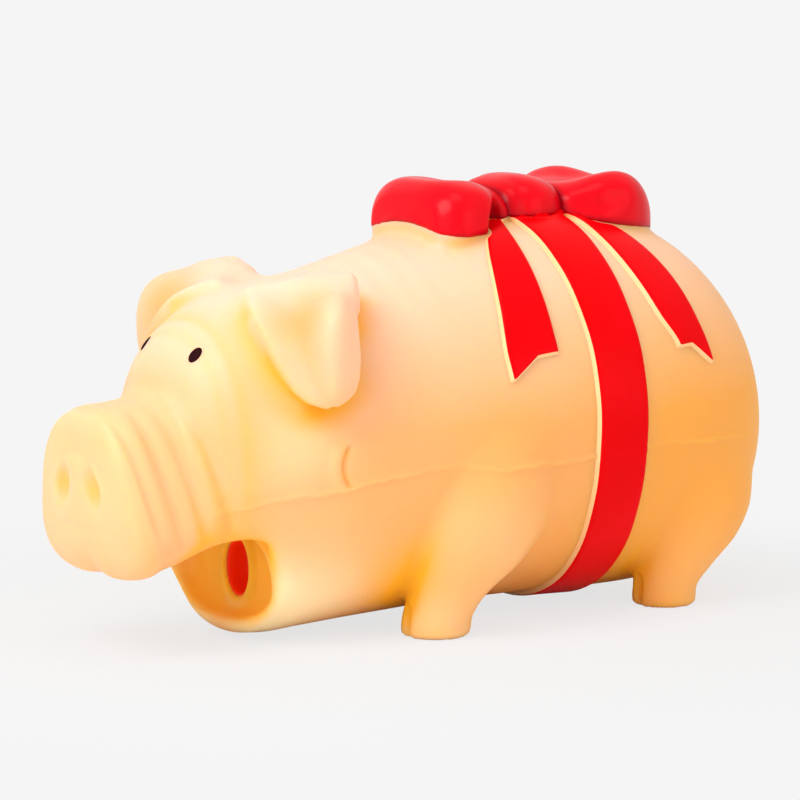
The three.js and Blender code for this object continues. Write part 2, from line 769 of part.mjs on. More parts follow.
function reedClip() {
  const top = REED_TOP + FIT_GAP + REED_CLIP_BAR;
  const place = -(REED_LENGTH - REED_CLIP) / 2;
  const bar = toSolid(box(
    [REED_WIDTH + 2 * (FIT_GAP + REED_CLIP_BAR), top - REED_BOTTOM, REED_CLIP],
    [0, (top + REED_BOTTOM) / 2, place],
  ));
  const way = toSolid(box(
    [REED_WIDTH + 2 * FIT_GAP, REED_THICKNESS + 2 * FIT_GAP, REED_CLIP + CUTTER_MARGIN],
    [0, (REED_BOTTOM + REED_TOP) / 2, place],
  ));
  return toGeometry(bar.subtract(way));
}

function grunterBellows() {
  const pitch = BELLOWS_LENGTH / BELLOWS_FOLDS;
  const outer = [];
  const inner = [];
  for (let fold = 0; fold < BELLOWS_FOLDS; fold += 1) {
    const start = BELLOWS_START + fold * pitch;
    outer.push([BELLOWS_NECK, start], [BELLOWS_RADIUS, start + pitch / 2]);
    inner.push([BELLOWS_NECK - BELLOWS_WALL, start], [BELLOWS_RADIUS - BELLOWS_WALL, start + pitch / 2]);
  }
  outer.push([BELLOWS_NECK, BELLOWS_END]);
  inner.push([BELLOWS_NECK - BELLOWS_WALL, BELLOWS_END]);
  return closedBody(turned([...outer, ...inner.reverse(), outer[0]]));
}

function grunterEndCap() {
  const lip = BELLOWS_NECK - BELLOWS_WALL - FIT_GAP;
  return closedBody(turned([
    [0, CAP_START],
    [BELLOWS_RADIUS - END_CAP_BEVEL, CAP_START],
    [BELLOWS_RADIUS, CAP_START + END_CAP_BEVEL],
    [BELLOWS_RADIUS, CAP_END - END_CAP_BEVEL],
    [BELLOWS_RADIUS - END_CAP_BEVEL, CAP_END],
    [lip, CAP_END],
    [lip - END_CAP_DISH, CAP_END - END_CAP_DISH],
    [0, CAP_END - END_CAP_DISH],
  ]));
}

// Where the grunter lies

const NOZZLE_TIP = new THREE.Vector3(
  0,
  THROAT_BACK + FIT_GAP + NOZZLE_RADIUS * Math.sin(degrees(GRUNTER_TILT)),
  THROAT_HEIGHT,
);

function grunterBore() {
  const room = (BELLOWS_RADIUS + FIT_GAP) / Math.cos(Math.PI / TURNED_SIDES);
  const geometry = turned([
    [0, -NOZZLE_APPROACH],
    [HOUSING_RADIUS + FIT_GAP, -NOZZLE_APPROACH],
    [HOUSING_RADIUS + FIT_GAP, HOUSING_END - FIT_GAP],
    [room, HOUSING_END],
    [room, CAP_END + FIT_GAP],
    [0, CAP_END + FIT_GAP],
  ]);
  geometry.rotateX(degrees(GRUNTER_TILT));
  geometry.translate(NOZZLE_TIP.x, NOZZLE_TIP.y, NOZZLE_TIP.z);
  return toSolid(geometry);
}

function bodyWadding() {
  const behind = slab(WADDING_SPLIT + FIT_GAP, CAVITY_REAR);
  return toGeometry(cavity(FIT_GAP).intersect(behind).subtract(grunterBore()));
}

function headWadding() {
  const ahead = slab(HEAD_CAVITY_FRONT, WADDING_SPLIT);
  return toGeometry(cavity(FIT_GAP).intersect(ahead).subtract(grunterBore()));
}

// Assembly

const material = (color, roughness, metalness = 0) =>
  new THREE.MeshStandardMaterial({ color, roughness, metalness });

const latex = () => material(0xffd28c, 0.5);
const redCoat = () => material(0xe60014, 0.3);
const plastic = () => material(0xe8e6df, 0.45);

function piece(name, geometry, finish) {
  const mesh = new THREE.Mesh(geometry, finish);
  mesh.name = name;
  return mesh;
}

const pig = new THREE.Group();
pig.add(piece("latex_skin", latexSkin(), latex()));
pig.add(piece("filling_port_patch", portPatch(), latex()));
pig.add(piece("throat_liner", throatLiner(), redCoat()));
for (const [side, word] of [[1, "left"], [-1, "right"]]) {
  pig.add(piece(`eye_${word}`, eye(side), material(0x2a0a0c, 0.35)));
  pig.add(piece(`ribbon_tail_front_${word}`, tail(FRONT_TAIL, side), redCoat()));
  pig.add(piece(`ribbon_tail_rear_${word}`, tail(REAR_TAIL, side), redCoat()));
}
pig.add(piece("ribbon_band", ribbonBand(), redCoat()));
pig.add(piece("bow_knot", bowKnot(), redCoat()));
pig.add(piece("bow_loop_front", bowLoop(FRONT_LOOP, 0, FRONT_TAIL, true), redCoat()));
pig.add(piece("bow_loop_rear", bowLoop(REAR_LOOP, LOOP_DISH, REAR_TAIL, false), redCoat()));
pig.add(piece("body_wadding", bodyWadding(), material(0xf4f2ec, 0.95)));
pig.add(piece("head_wadding", headWadding(), material(0xf4f2ec, 0.95)));

const grunter = new THREE.Group();
grunter.position.copy(NOZZLE_TIP);
grunter.rotation.x = degrees(GRUNTER_TILT);
grunter.add(piece("voice_housing", voiceHousing(), plastic()));
grunter.add(piece("reed_block", reedBlock(), plastic()));
grunter.add(piece("reed", reed(), material(0xd8c58a, 0.4)));
grunter.add(piece("reed_clip", reedClip(), plastic()));
grunter.add(piece("grunter_bellows", grunterBellows(), material(0xf0efe8, 0.55)));
grunter.add(piece("grunter_end_cap", grunterEndCap(), plastic()));
pig.add(grunter);

export default pig;
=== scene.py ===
import math

import bpy
import numpy as np
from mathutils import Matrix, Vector
from mathutils.bvhtree import BVHTree


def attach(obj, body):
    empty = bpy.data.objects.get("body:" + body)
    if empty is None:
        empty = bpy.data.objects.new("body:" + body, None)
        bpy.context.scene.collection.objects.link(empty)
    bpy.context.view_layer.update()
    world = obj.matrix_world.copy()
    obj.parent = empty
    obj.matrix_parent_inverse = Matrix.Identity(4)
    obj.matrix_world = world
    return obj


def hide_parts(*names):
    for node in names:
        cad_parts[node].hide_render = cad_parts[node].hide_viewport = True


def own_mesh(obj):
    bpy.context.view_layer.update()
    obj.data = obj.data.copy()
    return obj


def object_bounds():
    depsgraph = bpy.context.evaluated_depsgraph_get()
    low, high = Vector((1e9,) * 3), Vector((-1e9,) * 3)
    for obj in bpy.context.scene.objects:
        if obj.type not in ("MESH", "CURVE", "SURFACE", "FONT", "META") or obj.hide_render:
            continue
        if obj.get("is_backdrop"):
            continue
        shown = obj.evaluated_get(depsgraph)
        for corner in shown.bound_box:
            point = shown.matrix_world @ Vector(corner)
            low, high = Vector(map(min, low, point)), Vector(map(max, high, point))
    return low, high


# A squeezable latex pig for dogs, with a red ribbon and bow moulded in relief.
# The pig stands at Z = 0 and looks along -Y; its left is +X. Shapes are worked out in
# millimetres and turned into metres when a mesh is made. The pig is the same on both sides, so
# every field below reads only how far a point lies from the middle. Angles round the trunk are
# in degrees, up from the flank.

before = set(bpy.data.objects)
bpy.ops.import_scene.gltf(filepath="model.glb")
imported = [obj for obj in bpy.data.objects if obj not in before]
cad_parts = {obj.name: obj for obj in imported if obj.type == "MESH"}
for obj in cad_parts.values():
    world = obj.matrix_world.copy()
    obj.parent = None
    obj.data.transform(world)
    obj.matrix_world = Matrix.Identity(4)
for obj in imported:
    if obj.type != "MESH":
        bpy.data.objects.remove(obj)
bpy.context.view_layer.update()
MM = 0.001

# Trunk and skull: y, half width, top, bottom, roundness (2 is an ellipse)
TRUNK = [
    [-75.6, 10.0, 60.0, 38.0, 2.2],
    [-72, 17.6, 68.4, 24.0, 2.2],
    [-66, 24.0, 74.5, 12.0, 2.2],
    [-58, 28.7, 79.0, 3.0, 2.2],
    [-50, 31.5, 81.7, 1.0, 2.2],
    [-40, 34.5, 83.4, 1.4, 2.15],
    [-28, 37.0, 85.3, 2.0, 2.1],
    [-16, 39.0, 88.2, 2.4, 2.05],
    [-6, 40.7, 90.8, 2.7, 2.0],
    [2, 41.8, 92.9, 2.8, 2.0],
    [12, 42.8, 94.9, 2.8, 2.0],
    [30, 44.0, 96.5, 2.6, 2.0],
    [50, 43.8, 95.2, 2.0, 2.0],
    [66, 41.2, 90.8, 2.8, 2.0],
    [78, 36.0, 82.4, 6.6, 2.0],
    [87, 26.6, 71.0, 14.6, 2.0],
    [93, 15.0, 57.0, 26.8, 2.0],
    [95, 6.5, 48.0, 36.0, 2.0],
]

# Snout, from its flat disc back into the cheeks, in the same terms
SNOUT = [
    [-95, 14.0, 50.5, 25.0, 2.8],
    [-94, 17.4, 54.0, 21.4, 3.0],
    [-92, 19.6, 56.2, 18.6, 3.1],
    [-88, 20.6, 57.2, 17.9, 3.2],
    [-84, 20.2, 57.5, 18.8, 3.0],
    [-78, 20.8, 58.2, 20.4, 2.9],
    [-70, 23.6, 60.0, 23.4, 2.8],
    [-65, 26.0, 61.2, 24.8, 2.7],
    [-60, 28.2, 62.5, 26.2, 2.6],
    [-54, 30.2, 63.5, 27.4, 2.5],
    [-49, 30.6, 63.5, 28.6, 2.4],
    [-44, 29.0, 62.0, 31.0, 2.3],
]
SNOUT_FILLET = 4.4
# The snout leans back towards the chin below one height, and widens towards the chin about another
SNOUT_LEAN = 0.1
SNOUT_LEAN_TOP = 45.0
SNOUT_LEAN_SOFTNESS = 3.0
SNOUT_FLARE = 0.013
SNOUT_FLARE_MIDDLE = 36.0
SNOUT_FLARE_LENGTH = 30.0

# Legs from the sole up: z, x, y, half width along x, half width along y
FRONT_LEG = [
    [0, 27.0, -12.8, 6.9, 7.1],
    [0.9, 27.0, -12.8, 7.9, 8.1],
    [5, 27.4, -12.4, 8.1, 8.4],
    [10, 28.8, -10.6, 8.8, 9.6],
    [17, 30.8, -6.8, 10.8, 13.8],
    [26, 31.8, -3.2, 12.4, 17.2],
    [36, 31.6, -0.8, 12.6, 16.8],
    [47, 29.6, 0.8, 12.0, 13.4],
    [57, 26.4, 2.0, 8.0, 7.0],
]
REAR_LEG = [
    [0, 27.0, 56.7, 6.5, 6.7],
    [0.9, 27.0, 56.7, 7.5, 7.7],
    [5, 27.2, 57.0, 7.7, 8.0],
    [10, 27.8, 59.0, 9.2, 10.0],
    [17, 28.0, 62.0, 11.6, 14.2],
    [26, 27.8, 63.4, 13.2, 17.0],
    [36, 26.8, 62.6, 13.6, 16.4],
    [47, 25.0, 60.0, 12.0, 12.0],
    [56, 22.0, 57.0, 7.0, 7.0],
]
LEG_FILLET = 2.6
# Split between the toes: x, the stations y of the front and rear feet, height, radius
TOE_SPLIT_X = 26.2
TOE_SPLITS = (-21.4, 48.5)
TOE_SPLIT_HEIGHT = 6.5
TOE_SPLIT_RADIUS = 1.4

# Ear lines from the crown down to the tip: x, y, z
EAR_RIM = [
    [8.5, -51.5, 82.5],
    [17.2, -56.9, 78.6],
    [26.4, -57.8, 70.4],
    [30.6, -56.6, 64.4],
    [34.6, -53.6, 59.6],
    [38.4, -49.8, 58.0],
]
EAR_RIDGE = [
    [17.0, -43.5, 84.4],
    [29.0, -43.4, 83.4],
    [35.6, -47.4, 82.6],
    [40.0, -50.0, 79.6],
    [41.4, -51.6, 74.2],
    [41.6, -51.4, 67.0],
    [41.0, -50.6, 61.6],
    [38.4, -49.8, 58.0],
]
EAR_EDGE = [
    [18.5, -35.6, 84.4],
    [25.0, -35.2, 86.2],
    [32.0, -40.2, 83.2],
    [39.0, -44.2, 76.0],
    [41.4, -45.3, 68.0],
    [41.4, -46.6, 61.8],
    [38.4, -49.8, 58.0],
]
EAR_ROOT = [17, -44, 66]
EAR_THICKNESS = 2.8
EAR_DISH = 3.2
EAR_SMOOTHINGS = 10
EAR_FILLET = 3.0
EAR_FRONT_FILLET = 3.5
EAR_ROOT_DEPTH = 10.0
EAR_ROOT_ROWS = 6
# Swelling of the crown between the ears: start, end, radius
CROWN = [(14, -40, 78.5), (27, -41, 79.5), 5.4]
CROWN_FILLET = 4.0

# Open mouth
JAW_FRONT = -56.5
MOUTH_TOP = 27.6
MOUTH_HALF_WIDTH = 24.8
MOUTH_CORNER = 5.0
LIP_ROUNDING = 3.6
CUP_BACK = -50.0
CUP = [
    [-60.0, 23.0, 27.4, 3.4, 2.3],
    [-56.5, 21.2, 27.2, 4.7, 2.3],
    [-52.6, 19.0, 26.6, 6.2, 2.3],
    [-49.0, 14.6, 25.0, 9.0, 2.3],
]
THROAT_HEIGHT = 16.2
THROAT_HALF_WIDTH = 4.9
THROAT_HALF_HEIGHT = 6.8
THROAT_BACK = -44.4
# Both half sizes of the oval throat, taken as one
THROAT_RADIUS = 5.6
THROAT_FRONT = -54.0
# Collar round it: share of the throat's size, how far behind the cup's back, radius
COLLAR_SHARE = 1.2
COLLAR_BEHIND = 0.4
COLLAR_RADIUS = 1.5

# Nostrils, as ellipsoids cut into the disc: middle, radii. They splay about a height
NOSTRIL = [(6.7, -95.6, 39.6), (2.5, 2.2, 4.8)]
NOSTRIL_SPLAY = 0.12
NOSTRIL_SPLAY_MIDDLE = 39.5

# Ribbon relief across an edge: distance in from the edge, height above the skin
RIBBON_EDGE = [
    [-0.45, -0.30], [-0.18, 0.08], [0.0, 0.50], [0.16, 0.86],
    [0.30, 1.02], [0.44, 1.06], [0.62, 1.24], [0.9, 1.30],
]
# The red coat starts inside the rounded border
RIBBON_COAT_INSET = 0.30 - 1e-6
RIBBON_SUNK = 0.45

# Ribbons: the band's line, and the tails' edges, as angle up from the flank and station y
BAND_WIDTH = 14.4
BAND_LINE = [
    [-90, 35.5], [-60, 34.0], [-30, 31.0], [0, 29.6], [30, 29.2], [60, 28.8], [90, 29.2],
]
TAIL_TOP_ANGLE = 78
# "ends" are the angles of the tip's two points and of the notch between them
FRONT_TAIL = {
    "fore": [
        [0, -0.4], [16.5, -0.4], [26, -0.6], [40, 1.4],
        [50, 3.6], [60, 6.6], [70, 11.0], [80, 16.0],
    ],
    "aft": [
        [0, 13.2], [21.6, 13.2], [28, 13.2], [40, 13.8],
        [50, 14.6], [60, 15.6], [70, 17.2], [80, 20.0],
    ],
    "ends": [16.5, 21.6, 21.6],
    "notch": 0.58,
}
REAR_TAIL = {
    "fore": [
        [0, 48.6], [20.6, 48.6], [30, 44.8], [40, 42.4],
        [50, 40.6], [60, 39.4], [70, 38.6], [80, 37.0],
    ],
    "aft": [
        [0, 59.4], [16.6, 59.4], [30, 57.2], [40, 55.4],
        [50, 53.0], [60, 50.0], [70, 46.4], [80, 42.4],
    ],
    "ends": [20.6, 21.4, 16.6],
    "notch": 0.42,
}
MM_PER_DEGREE = 0.78
TIP_STRETCH = 1.15

# Bow: y, half width, top
KNOT = [
    [19.4, 8.4, 100.8],
    [21.4, 10.8, 103.2],
    [25.0, 12.2, 104.6],
    [29.0, 12.8, 105.0],
    [33.0, 12.2, 104.4],
    [36.6, 10.8, 103.0],
    [38.6, 8.4, 100.8],
]
FRONT_LOOP = [
    [-2.8, 9.4, 97.4],
    [-2.2, 12.8, 100.8],
    [-0.6, 15.2, 103.2],
    [2, 17.0, 104.8],
    [6, 17.9, 105.2],
    [11, 16.8, 104.8],
    [15.5, 14.0, 103.5],
    [21.0, 10.4, 101.4],
]
REAR_LOOP = [
    [36.8, 12.4, 101.6],
    [38.8, 13.8, 102.4],
    [42, 15.6, 103.8],
    [47, 17.4, 105.8],
    [53, 17.4, 106.7],
    [58, 15.8, 105.8],
    [62, 13.4, 103.2],
    [64.8, 10.6, 99.6],
    [66, 7.6, 96.2],
]
BOW_SINK = 8.0
BOW_ROUNDNESS = 2.7
BOW_FILLET = 1.6
# Dents across the bow: middle and reach along y, depth
KNOT_CREASE = (24.6, 1.6, 0.3)
LOOP_CORNER = (7.5, 3.6, 0.7)
LOOP_DIP = (9, 5.5, 1.3)
# The skin rises under the bow no further than this from the trunk's own surface
PLINTH_DEPTH = 3.6
LOOP_VALLEY = 4.6
# Hollow where the front loop meets the knot: middle, radii
LOOP_WAIST = [(15.0, 15.2, 94.6), (5.6, 4.2, 5.6)]
# Groove pressed into the rear loop: start, end
LOOP_GROOVE = [(13.4, 36.5, 96.2), (18.0, 50.0, 99.6)]
LOOP_GROOVE_DEPTH = 0.9
LOOP_GROOVE_WIDTH = 2.4
# The bow's coat stands proud of the skin above the paint line, and dives into it below
BOW_COAT = 0.25
BOW_DIVE = 0.45

# Eyes: y, angle, width, height, tilt of the top towards the tail in degrees. They are painted by
# hand, and the right one sits a little higher
EYE = [-69.2, 60.6, 2.8, 4.3, 22.0]
EYE_DOME = 0.30
EYE_SUNK = 0.02
RIGHT_EYE_HIGHER = 3.5

# Filling port under the belly: y, radius. The patch covers it, its rim pressed into the skin. The
# groove round it has a radius, reach and depth
PORT = [8.0, 6.65]
PORT_GROOVE = (6.85, 0.35, 0.45)
PORT_HEIGHT = 2.5
PATCH_LIFT = 0.12
PATCH_RIM = -0.35

# Mould parting line round the flank: y, z
SEAM = [
    [-86, 30.0], [-69.3, 34.0], [-58.1, 36.4], [-43.3, 38.0], [-22.5, 41.3], [-4.3, 40.5],
    [20.7, 40.9], [38.2, 42.6], [54.3, 42.4], [79.1, 41.4], [95, 41.0],
]
SEAM_RELIEF = 0.7
SEAM_HALF_WIDTH = 0.55

# Wrinkles across the snout: the first and last along y, their spacing, depth and slant
WRINKLE_FIRST = -89.0
WRINKLE_PITCH = 6.1
WRINKLE_LAST = -66.5
WRINKLE_DEPTH = 0.95
WRINKLE_LEAN = 0.21

# Bellows of the grunter. It is turned about the grunter's axis, which starts at the tip of the
# nozzle and rises towards the tail
NOZZLE_TIP = np.array([0, -42.661, 16.2])
GRUNTER_TILT = math.radians(18)
BELLOWS_START = 22.35
BELLOWS_LENGTH = 32.0
BELLOWS_FOLDS = 6
BELLOWS_NECK = 10.4
BELLOWS_RADIUS = 15.0
BELLOWS_WALL = 0.9

# Painted shade, painted warm shade and painted light: where the latex is painted deeper, as shade
# in a recess, warmer, or lighter, as lit from below: middle, reach, strength
PAINTED_SHADE_PATCHES = [
    [(35.0, -28.0, 14.0), 14.0, 0.42],
    [(38.5, -41.0, 64.0), 8.0, 0.25],
    [(34.0, 44.0, 12.0), 12.0, 0.22],
    [(10.0, -50.0, 14.0), 10.0, 0.3],
    [(6.8, -94.0, 39.0), 3.4, 0.3],
]
# Painted warm shade, in the ear's dish and on the flank
PAINTED_WARM_SHADE_PATCHES = [
    [(28.5, -52.5, 76.0), 10.0, 1.0],
    [(42.0, 20.0, 44.0), 13.0, 0.5],
]
# Painted light, on the jaw, lips, snout disc, cheek and legs, as if lit from the floor below and
# the front
PAINTED_LIGHT_PATCHES = [
    [(24.0, -47.0, 8.0), 16.0, 0.75],
    [(8.0, -93.0, 38.0), 16.0, 0.22],
    [(10.0, -57.0, 3.5), 9.0, 0.8],
    [(23.0, -57.0, 15.0), 6.5, 0.6],
    [(31.0, -53.0, 48.0), 10.0, 0.4],
    [(34.0, -6.0, 24.0), 12.0, 0.45],
    [(30.0, -14.0, 6.0), 9.0, 0.4],
    [(28.0, 60.0, 10.0), 13.0, 0.25],
]

# Mesh steps, the box the skin lies in, and the half width, bottom and top of the bow's
SKIN_STEP = 0.75
BOW_STEP = 0.55
SKIN_BOX = [(0, -95, 0), (46, 95, 104)]
BOW_BOX = (20, 88, 107.4)

# What a field says where a thing is too far off to matter
FAR = 30.0


# Curves and fields

def rows_at(table, where):
    """Smooth curve through table rows whose first column rises."""
    table = np.asarray(table, float)
    x = table[:, 0]
    n = len(x)
    high = np.minimum(np.arange(n) + 1, n - 1)
    low = np.maximum(np.arange(n) - 1, 0)
    slope = (table[high, 1:] - table[low, 1:]) / (x[high] - x[low])[:, None]
    where = np.asarray(where, float)
    i = np.clip(np.searchsorted(x, where, side="right") - 1, 0, n - 2)
    span = x[i + 1] - x[i]
    u = np.clip((where - x[i]) / span, 0, 1)
    columns = []
    for c in range(table.shape[1] - 1):
        a, b = table[i, c + 1], table[i + 1, c + 1]
        ta, tb = slope[i, c] * span, slope[i + 1, c] * span
        value = (2 * u**3 - 3 * u**2 + 1) * a + (3 * u**2 - 2 * u**3) * b
        columns.append(value + (u**3 - 2 * u**2 + u) * ta + (u**3 - u**2) * tb)
    return columns


def smoothstep(a, b, value):
    t = np.clip((value - a) / (b - a), 0, 1)
    return t * t * (3 - 2 * t)


def bell(value, middle, reach, height=1.0):
    """The height at the middle, fading to nothing on both sides."""
    return height * np.exp(-(((value - middle) / reach) ** 2))


def joined(a, b, fillet):
    """Union of two fields with a fillet."""
    h = np.clip(0.5 + 0.5 * (b - a) / fillet, 0, 1)
    return b + (a - b) * h - fillet * h * (1 - h)


def carved(a, b, rounding):
    """Field a with b cut out of it, the edge rounded."""
    return -joined(-a, b, rounding)


def both(a, b, rounding):
    """What two fields share, the edge rounded."""
    return -joined(-a, -b, rounding)


def tube(table, x, y, z, rounding=0.01):
    """Distance, near the surface, from a body that runs along y."""
    step = 0.25
    half_width, top, bottom, power = rows_at(table, y)
    before, after = rows_at(table, y - step), rows_at(table, y + step)
    middle, half = (top + bottom) / 2, (top - bottom) / 2
    wider = (after[0] - before[0]) / (2 * step)
    rising = (after[1] + after[2] - before[1] - before[2]) / (4 * step)
    taller = (after[1] - after[2] - before[1] + before[2]) / (4 * step)
    ax = np.abs(x) / half_width + 1e-6
    side = np.sign(z - middle)
    az = np.abs(z - middle) / half + 1e-6
    ax_part, az_part = ax ** (power - 1), az ** (power - 1)
    total = ax_part * ax + az_part * az
    radius = total ** (1 / power)
    along_y = ax_part * ax * wider / half_width + az_part * (side * rising + az * taller) / half
    slope = np.sqrt((ax_part / half_width) ** 2 + (az_part / half) ** 2 + along_y**2)
    distance = (radius - 1) * total / (radius * slope)
    return both(distance, np.maximum(table[0][0] - y, y - table[-1][0]), rounding)


def upright_snout(x, y, z):
    """Where a point of the leaning snout lies on an upright one."""
    below = SNOUT_LEAN_TOP - z
    y = y - SNOUT_LEAN * 0.5 * (below + np.sqrt(below**2 + SNOUT_LEAN_SOFTNESS**2))
    share = np.clip((SNOUT[-1][0] - y) / SNOUT_FLARE_LENGTH, 0, 1)
    return x / (1 + SNOUT_FLARE * share * (SNOUT_FLARE_MIDDLE - z)), y, z


def leg(table, x, y, z):
    cx, cy, rx, ry = rows_at(table, z)
    ax, ay = (x - cx) / rx, (y - cy) / ry
    radius = np.sqrt(ax**2 + ay**2) + 1e-6
    slope = np.sqrt((ax / rx) ** 2 + (ay / ry) ** 2) / radius + 1e-6
    return np.maximum((radius - 1) / slope, np.maximum(-z, z - table[-1][0]))


def ellipsoid(x, y, z, centre, radii):
    ax, ay, az = ((value - middle) / r for value, middle, r in zip((x, y, z), centre, radii))
    radius = np.sqrt(ax**2 + ay**2 + az**2) + 1e-6
    slope = np.sqrt((ax / radii[0]) ** 2 + (ay / radii[1]) ** 2 + (az / radii[2]) ** 2) / radius
    return (radius - 1) / slope


def capsule(x, y, z, start, end, radius):
    start, end = np.asarray(start, float), np.asarray(end, float)
    way = end - start
    share = (x - start[0]) * way[0] + (y - start[1]) * way[1] + (z - start[2]) * way[2]
    share = np.clip(share / way.dot(way), 0, 1)
    off = [p - (s + share * w) for p, s, w in zip((x, y, z), start, way)]
    return np.sqrt(off[0] ** 2 + off[1] ** 2 + off[2] ** 2) - radius


def trunk_point(y, angle):
    half_width, top, bottom, power = rows_at(TRUNK, y)
    c, s = np.cos(np.radians(angle)), np.sin(np.radians(angle))
    x = half_width * np.sign(c) * np.abs(c) ** (2 / power)
    z = (top + bottom) / 2 + (top - bottom) / 2 * np.sign(s) * np.abs(s) ** (2 / power)
    return np.stack([x, y + 0 * x, z], -1)


# Ribbon outlines

def band_middle(angle):
    """The band's middle line, a little uneven as on a hand-tied ribbon."""
    wave = 0.12 * np.sin(angle * 0.13) + 0.05 * np.sin(angle * 0.31 + 1)
    return rows_at(BAND_LINE, angle)[0] + wave


def tail_end(tail, share):
    return np.interp(share, [0, tail["notch"], 1], tail["ends"])


# Ear: a dished leaf, held as a surface with a thickness

def line_through(points, shares):
    points = np.asarray(points, float)
    steps = np.linalg.norm(np.diff(points, axis=0), axis=1)
    along = np.concatenate([[0], np.cumsum(steps)])
    table = np.column_stack([along / along[-1], points])
    return np.stack(rows_at(table, shares), -1)


def ear_surface(rows=40, columns=30):
    down = np.linspace(0, 0.97, rows)
    rim, ridge, edge = (line_through(line, down) for line in (EAR_RIM, EAR_RIDGE, EAR_EDGE))
    root = np.asarray(EAR_ROOT, float)
    dip = (rim + ridge) / 2
    inward = root - dip
    inward /= np.linalg.norm(inward, axis=1)[:, None]
    dip = dip + inward * (EAR_DISH * np.sin(np.pi * down))[:, None]
    grid = []
    for r in range(rows):
        grid.append(line_through([rim[r], dip[r], ridge[r], edge[r]], np.linspace(0, 1, columns)))
    grid = np.array(grid)
    for _ in range(EAR_SMOOTHINGS):
        grid[:, 1:-1] = grid[:, 1:-1] / 2 + (grid[:, :-2] + grid[:, 2:]) / 4
    inward = root - grid
    inward /= np.linalg.norm(inward, axis=2)[:, :, None]
    grid = grid + inward * EAR_THICKNESS / 2
    depths = np.linspace(EAR_ROOT_DEPTH, 0, EAR_ROOT_ROWS, endpoint=False)
    taper = 1 - smoothstep(0.75, 0.97, down)
    walls = [grid[:, 0] + inward[:, 0] * (depth * taper)[:, None] for depth in depths]
    grid = np.concatenate([np.stack(walls, 1), grid], axis=1)
    inward = np.concatenate([np.repeat(inward[:, :1], EAR_ROOT_ROWS, axis=1), inward], axis=1)
    rooted = grid[0] + inward[0] * depths[:, None, None]
    grid = np.concatenate([rooted, grid])
    rows += EAR_ROOT_ROWS
    columns += EAR_ROOT_ROWS
    points = grid.reshape(-1, 3)
    starts = [r * columns + c for r in range(rows - 1) for c in range(columns - 1)]
    faces = [(a, a + 1, a + columns + 1, a + columns) for a in starts]
    return BVHTree.FromPolygons([Vector(p) for p in points], faces), points


EAR_TREE, EAR_POINTS = ear_surface()
EAR_MARGIN = EAR_THICKNESS / 2 + EAR_FILLET + EAR_FRONT_FILLET + 2
EAR_LOW, EAR_HIGH = EAR_POINTS.min(0) - EAR_MARGIN, EAR_POINTS.max(0) + EAR_MARGIN


def ear(x, y, z):
    x, y, z = np.broadcast_arrays(x, y, z)
    near = (x > EAR_LOW[0]) & (x < EAR_HIGH[0]) & (y > EAR_LOW[1]) & (y < EAR_HIGH[1])
    near &= (z > EAR_LOW[2]) & (z < EAR_HIGH[2])
    distance = np.full(x.shape, FAR)
    points = zip(x[near].tolist(), y[near].tolist(), z[near].tolist())
    distance[near] = [EAR_TREE.find_nearest(p)[3] for p in points]
    distance[near] -= EAR_THICKNESS / 2
    return distance


# Bow, as fields

def bow_table(table):
    low = rows_at(TRUNK, [row[0] for row in table])[1] - BOW_SINK
    return [[*row, base, BOW_ROUNDNESS] for row, base in zip(table, low)]


KNOT_TUBE, FRONT_TUBE, REAR_TUBE = bow_table(KNOT), bow_table(FRONT_LOOP), bow_table(REAR_LOOP)


def knot(x, y, z):
    lump = tube(KNOT_TUBE, x, y, z, rounding=1.6)
    return lump + bell(y, *KNOT_CREASE) * smoothstep(0.2, 0.9, np.abs(x) / 12)


def front_loop(x, y, z):
    loop = tube(FRONT_TUBE, x, y, z, rounding=1.2)
    loop = carved(loop, ellipsoid(x, y, z, *LOOP_WAIST), rounding=1.8)
    corner = bell(y, *LOOP_CORNER) * smoothstep(12, 17, np.abs(x)) * smoothstep(104, 99, z)
    dip = bell(y, *LOOP_DIP) * smoothstep(10, 2, np.abs(x)) * smoothstep(98, 103, z)
    return loop + dip + corner


def rear_loop(x, y, z):
    along = np.clip((y - 38) / 28, 0, 1)
    valley = LOOP_VALLEY * np.sin(np.pi * along) ** 1.5 * smoothstep(13.5, 1.5, np.abs(x))
    loop = tube(REAR_TUBE, x, y, z + valley * smoothstep(92, 104, z), rounding=2.4)
    pressed = capsule(x, y, z, *LOOP_GROOVE, radius=0)
    return loop + bell(pressed, 0, LOOP_GROOVE_WIDTH, LOOP_GROOVE_DEPTH)


def bow_base(x, y, z):
    return np.minimum(np.minimum(front_loop(x, y, z), rear_loop(x, y, z)), knot(x, y, z))


# Skin

def wrinkles(x, y, z):
    """Soft ridges across the snout, deepest on its sides."""
    y = y - WRINKLE_LEAN * (SNOUT_LEAN_TOP - z)
    phase = (y - WRINKLE_FIRST) / WRINKLE_PITCH
    inside = smoothstep(WRINKLE_FIRST - 2.6, WRINKLE_FIRST, y)
    inside = inside * smoothstep(WRINKLE_LAST, WRINKLE_LAST - 6, y)
    groove = (0.5 + 0.5 * np.cos(2 * np.pi * phase)) ** 1.3
    height = smoothstep(24, 34, z) * smoothstep(58, 49, z)
    return WRINKLE_DEPTH * groove * inside * height


def neck_waves(x, y, z):
    phase = (y + 26 + 0.10 * np.abs(x)) / 6.4
    inside = smoothstep(-30, -25, y) * smoothstep(-6, -11, y) * smoothstep(72, 82, z)
    return 0.08 * np.cos(2 * np.pi * phase) * inside


def seam(x, y, z):
    line = rows_at(SEAM, y)[0]
    wave = 0.25 * np.sin(y * 0.31) + 0.15 * np.sin(y * 0.83 + 2)
    strength = smoothstep(14, 19, np.abs(x) + 0.4 * np.maximum(y - 70, 0) * (y > 70))
    fade = 0.75 + 0.25 * np.sin(y * 0.13 + 0.6)
    strength = strength * smoothstep(84, 68, y) * smoothstep(-76, -66, y)
    return fade * strength * bell(z, line + wave, SEAM_HALF_WIDTH, SEAM_RELIEF)


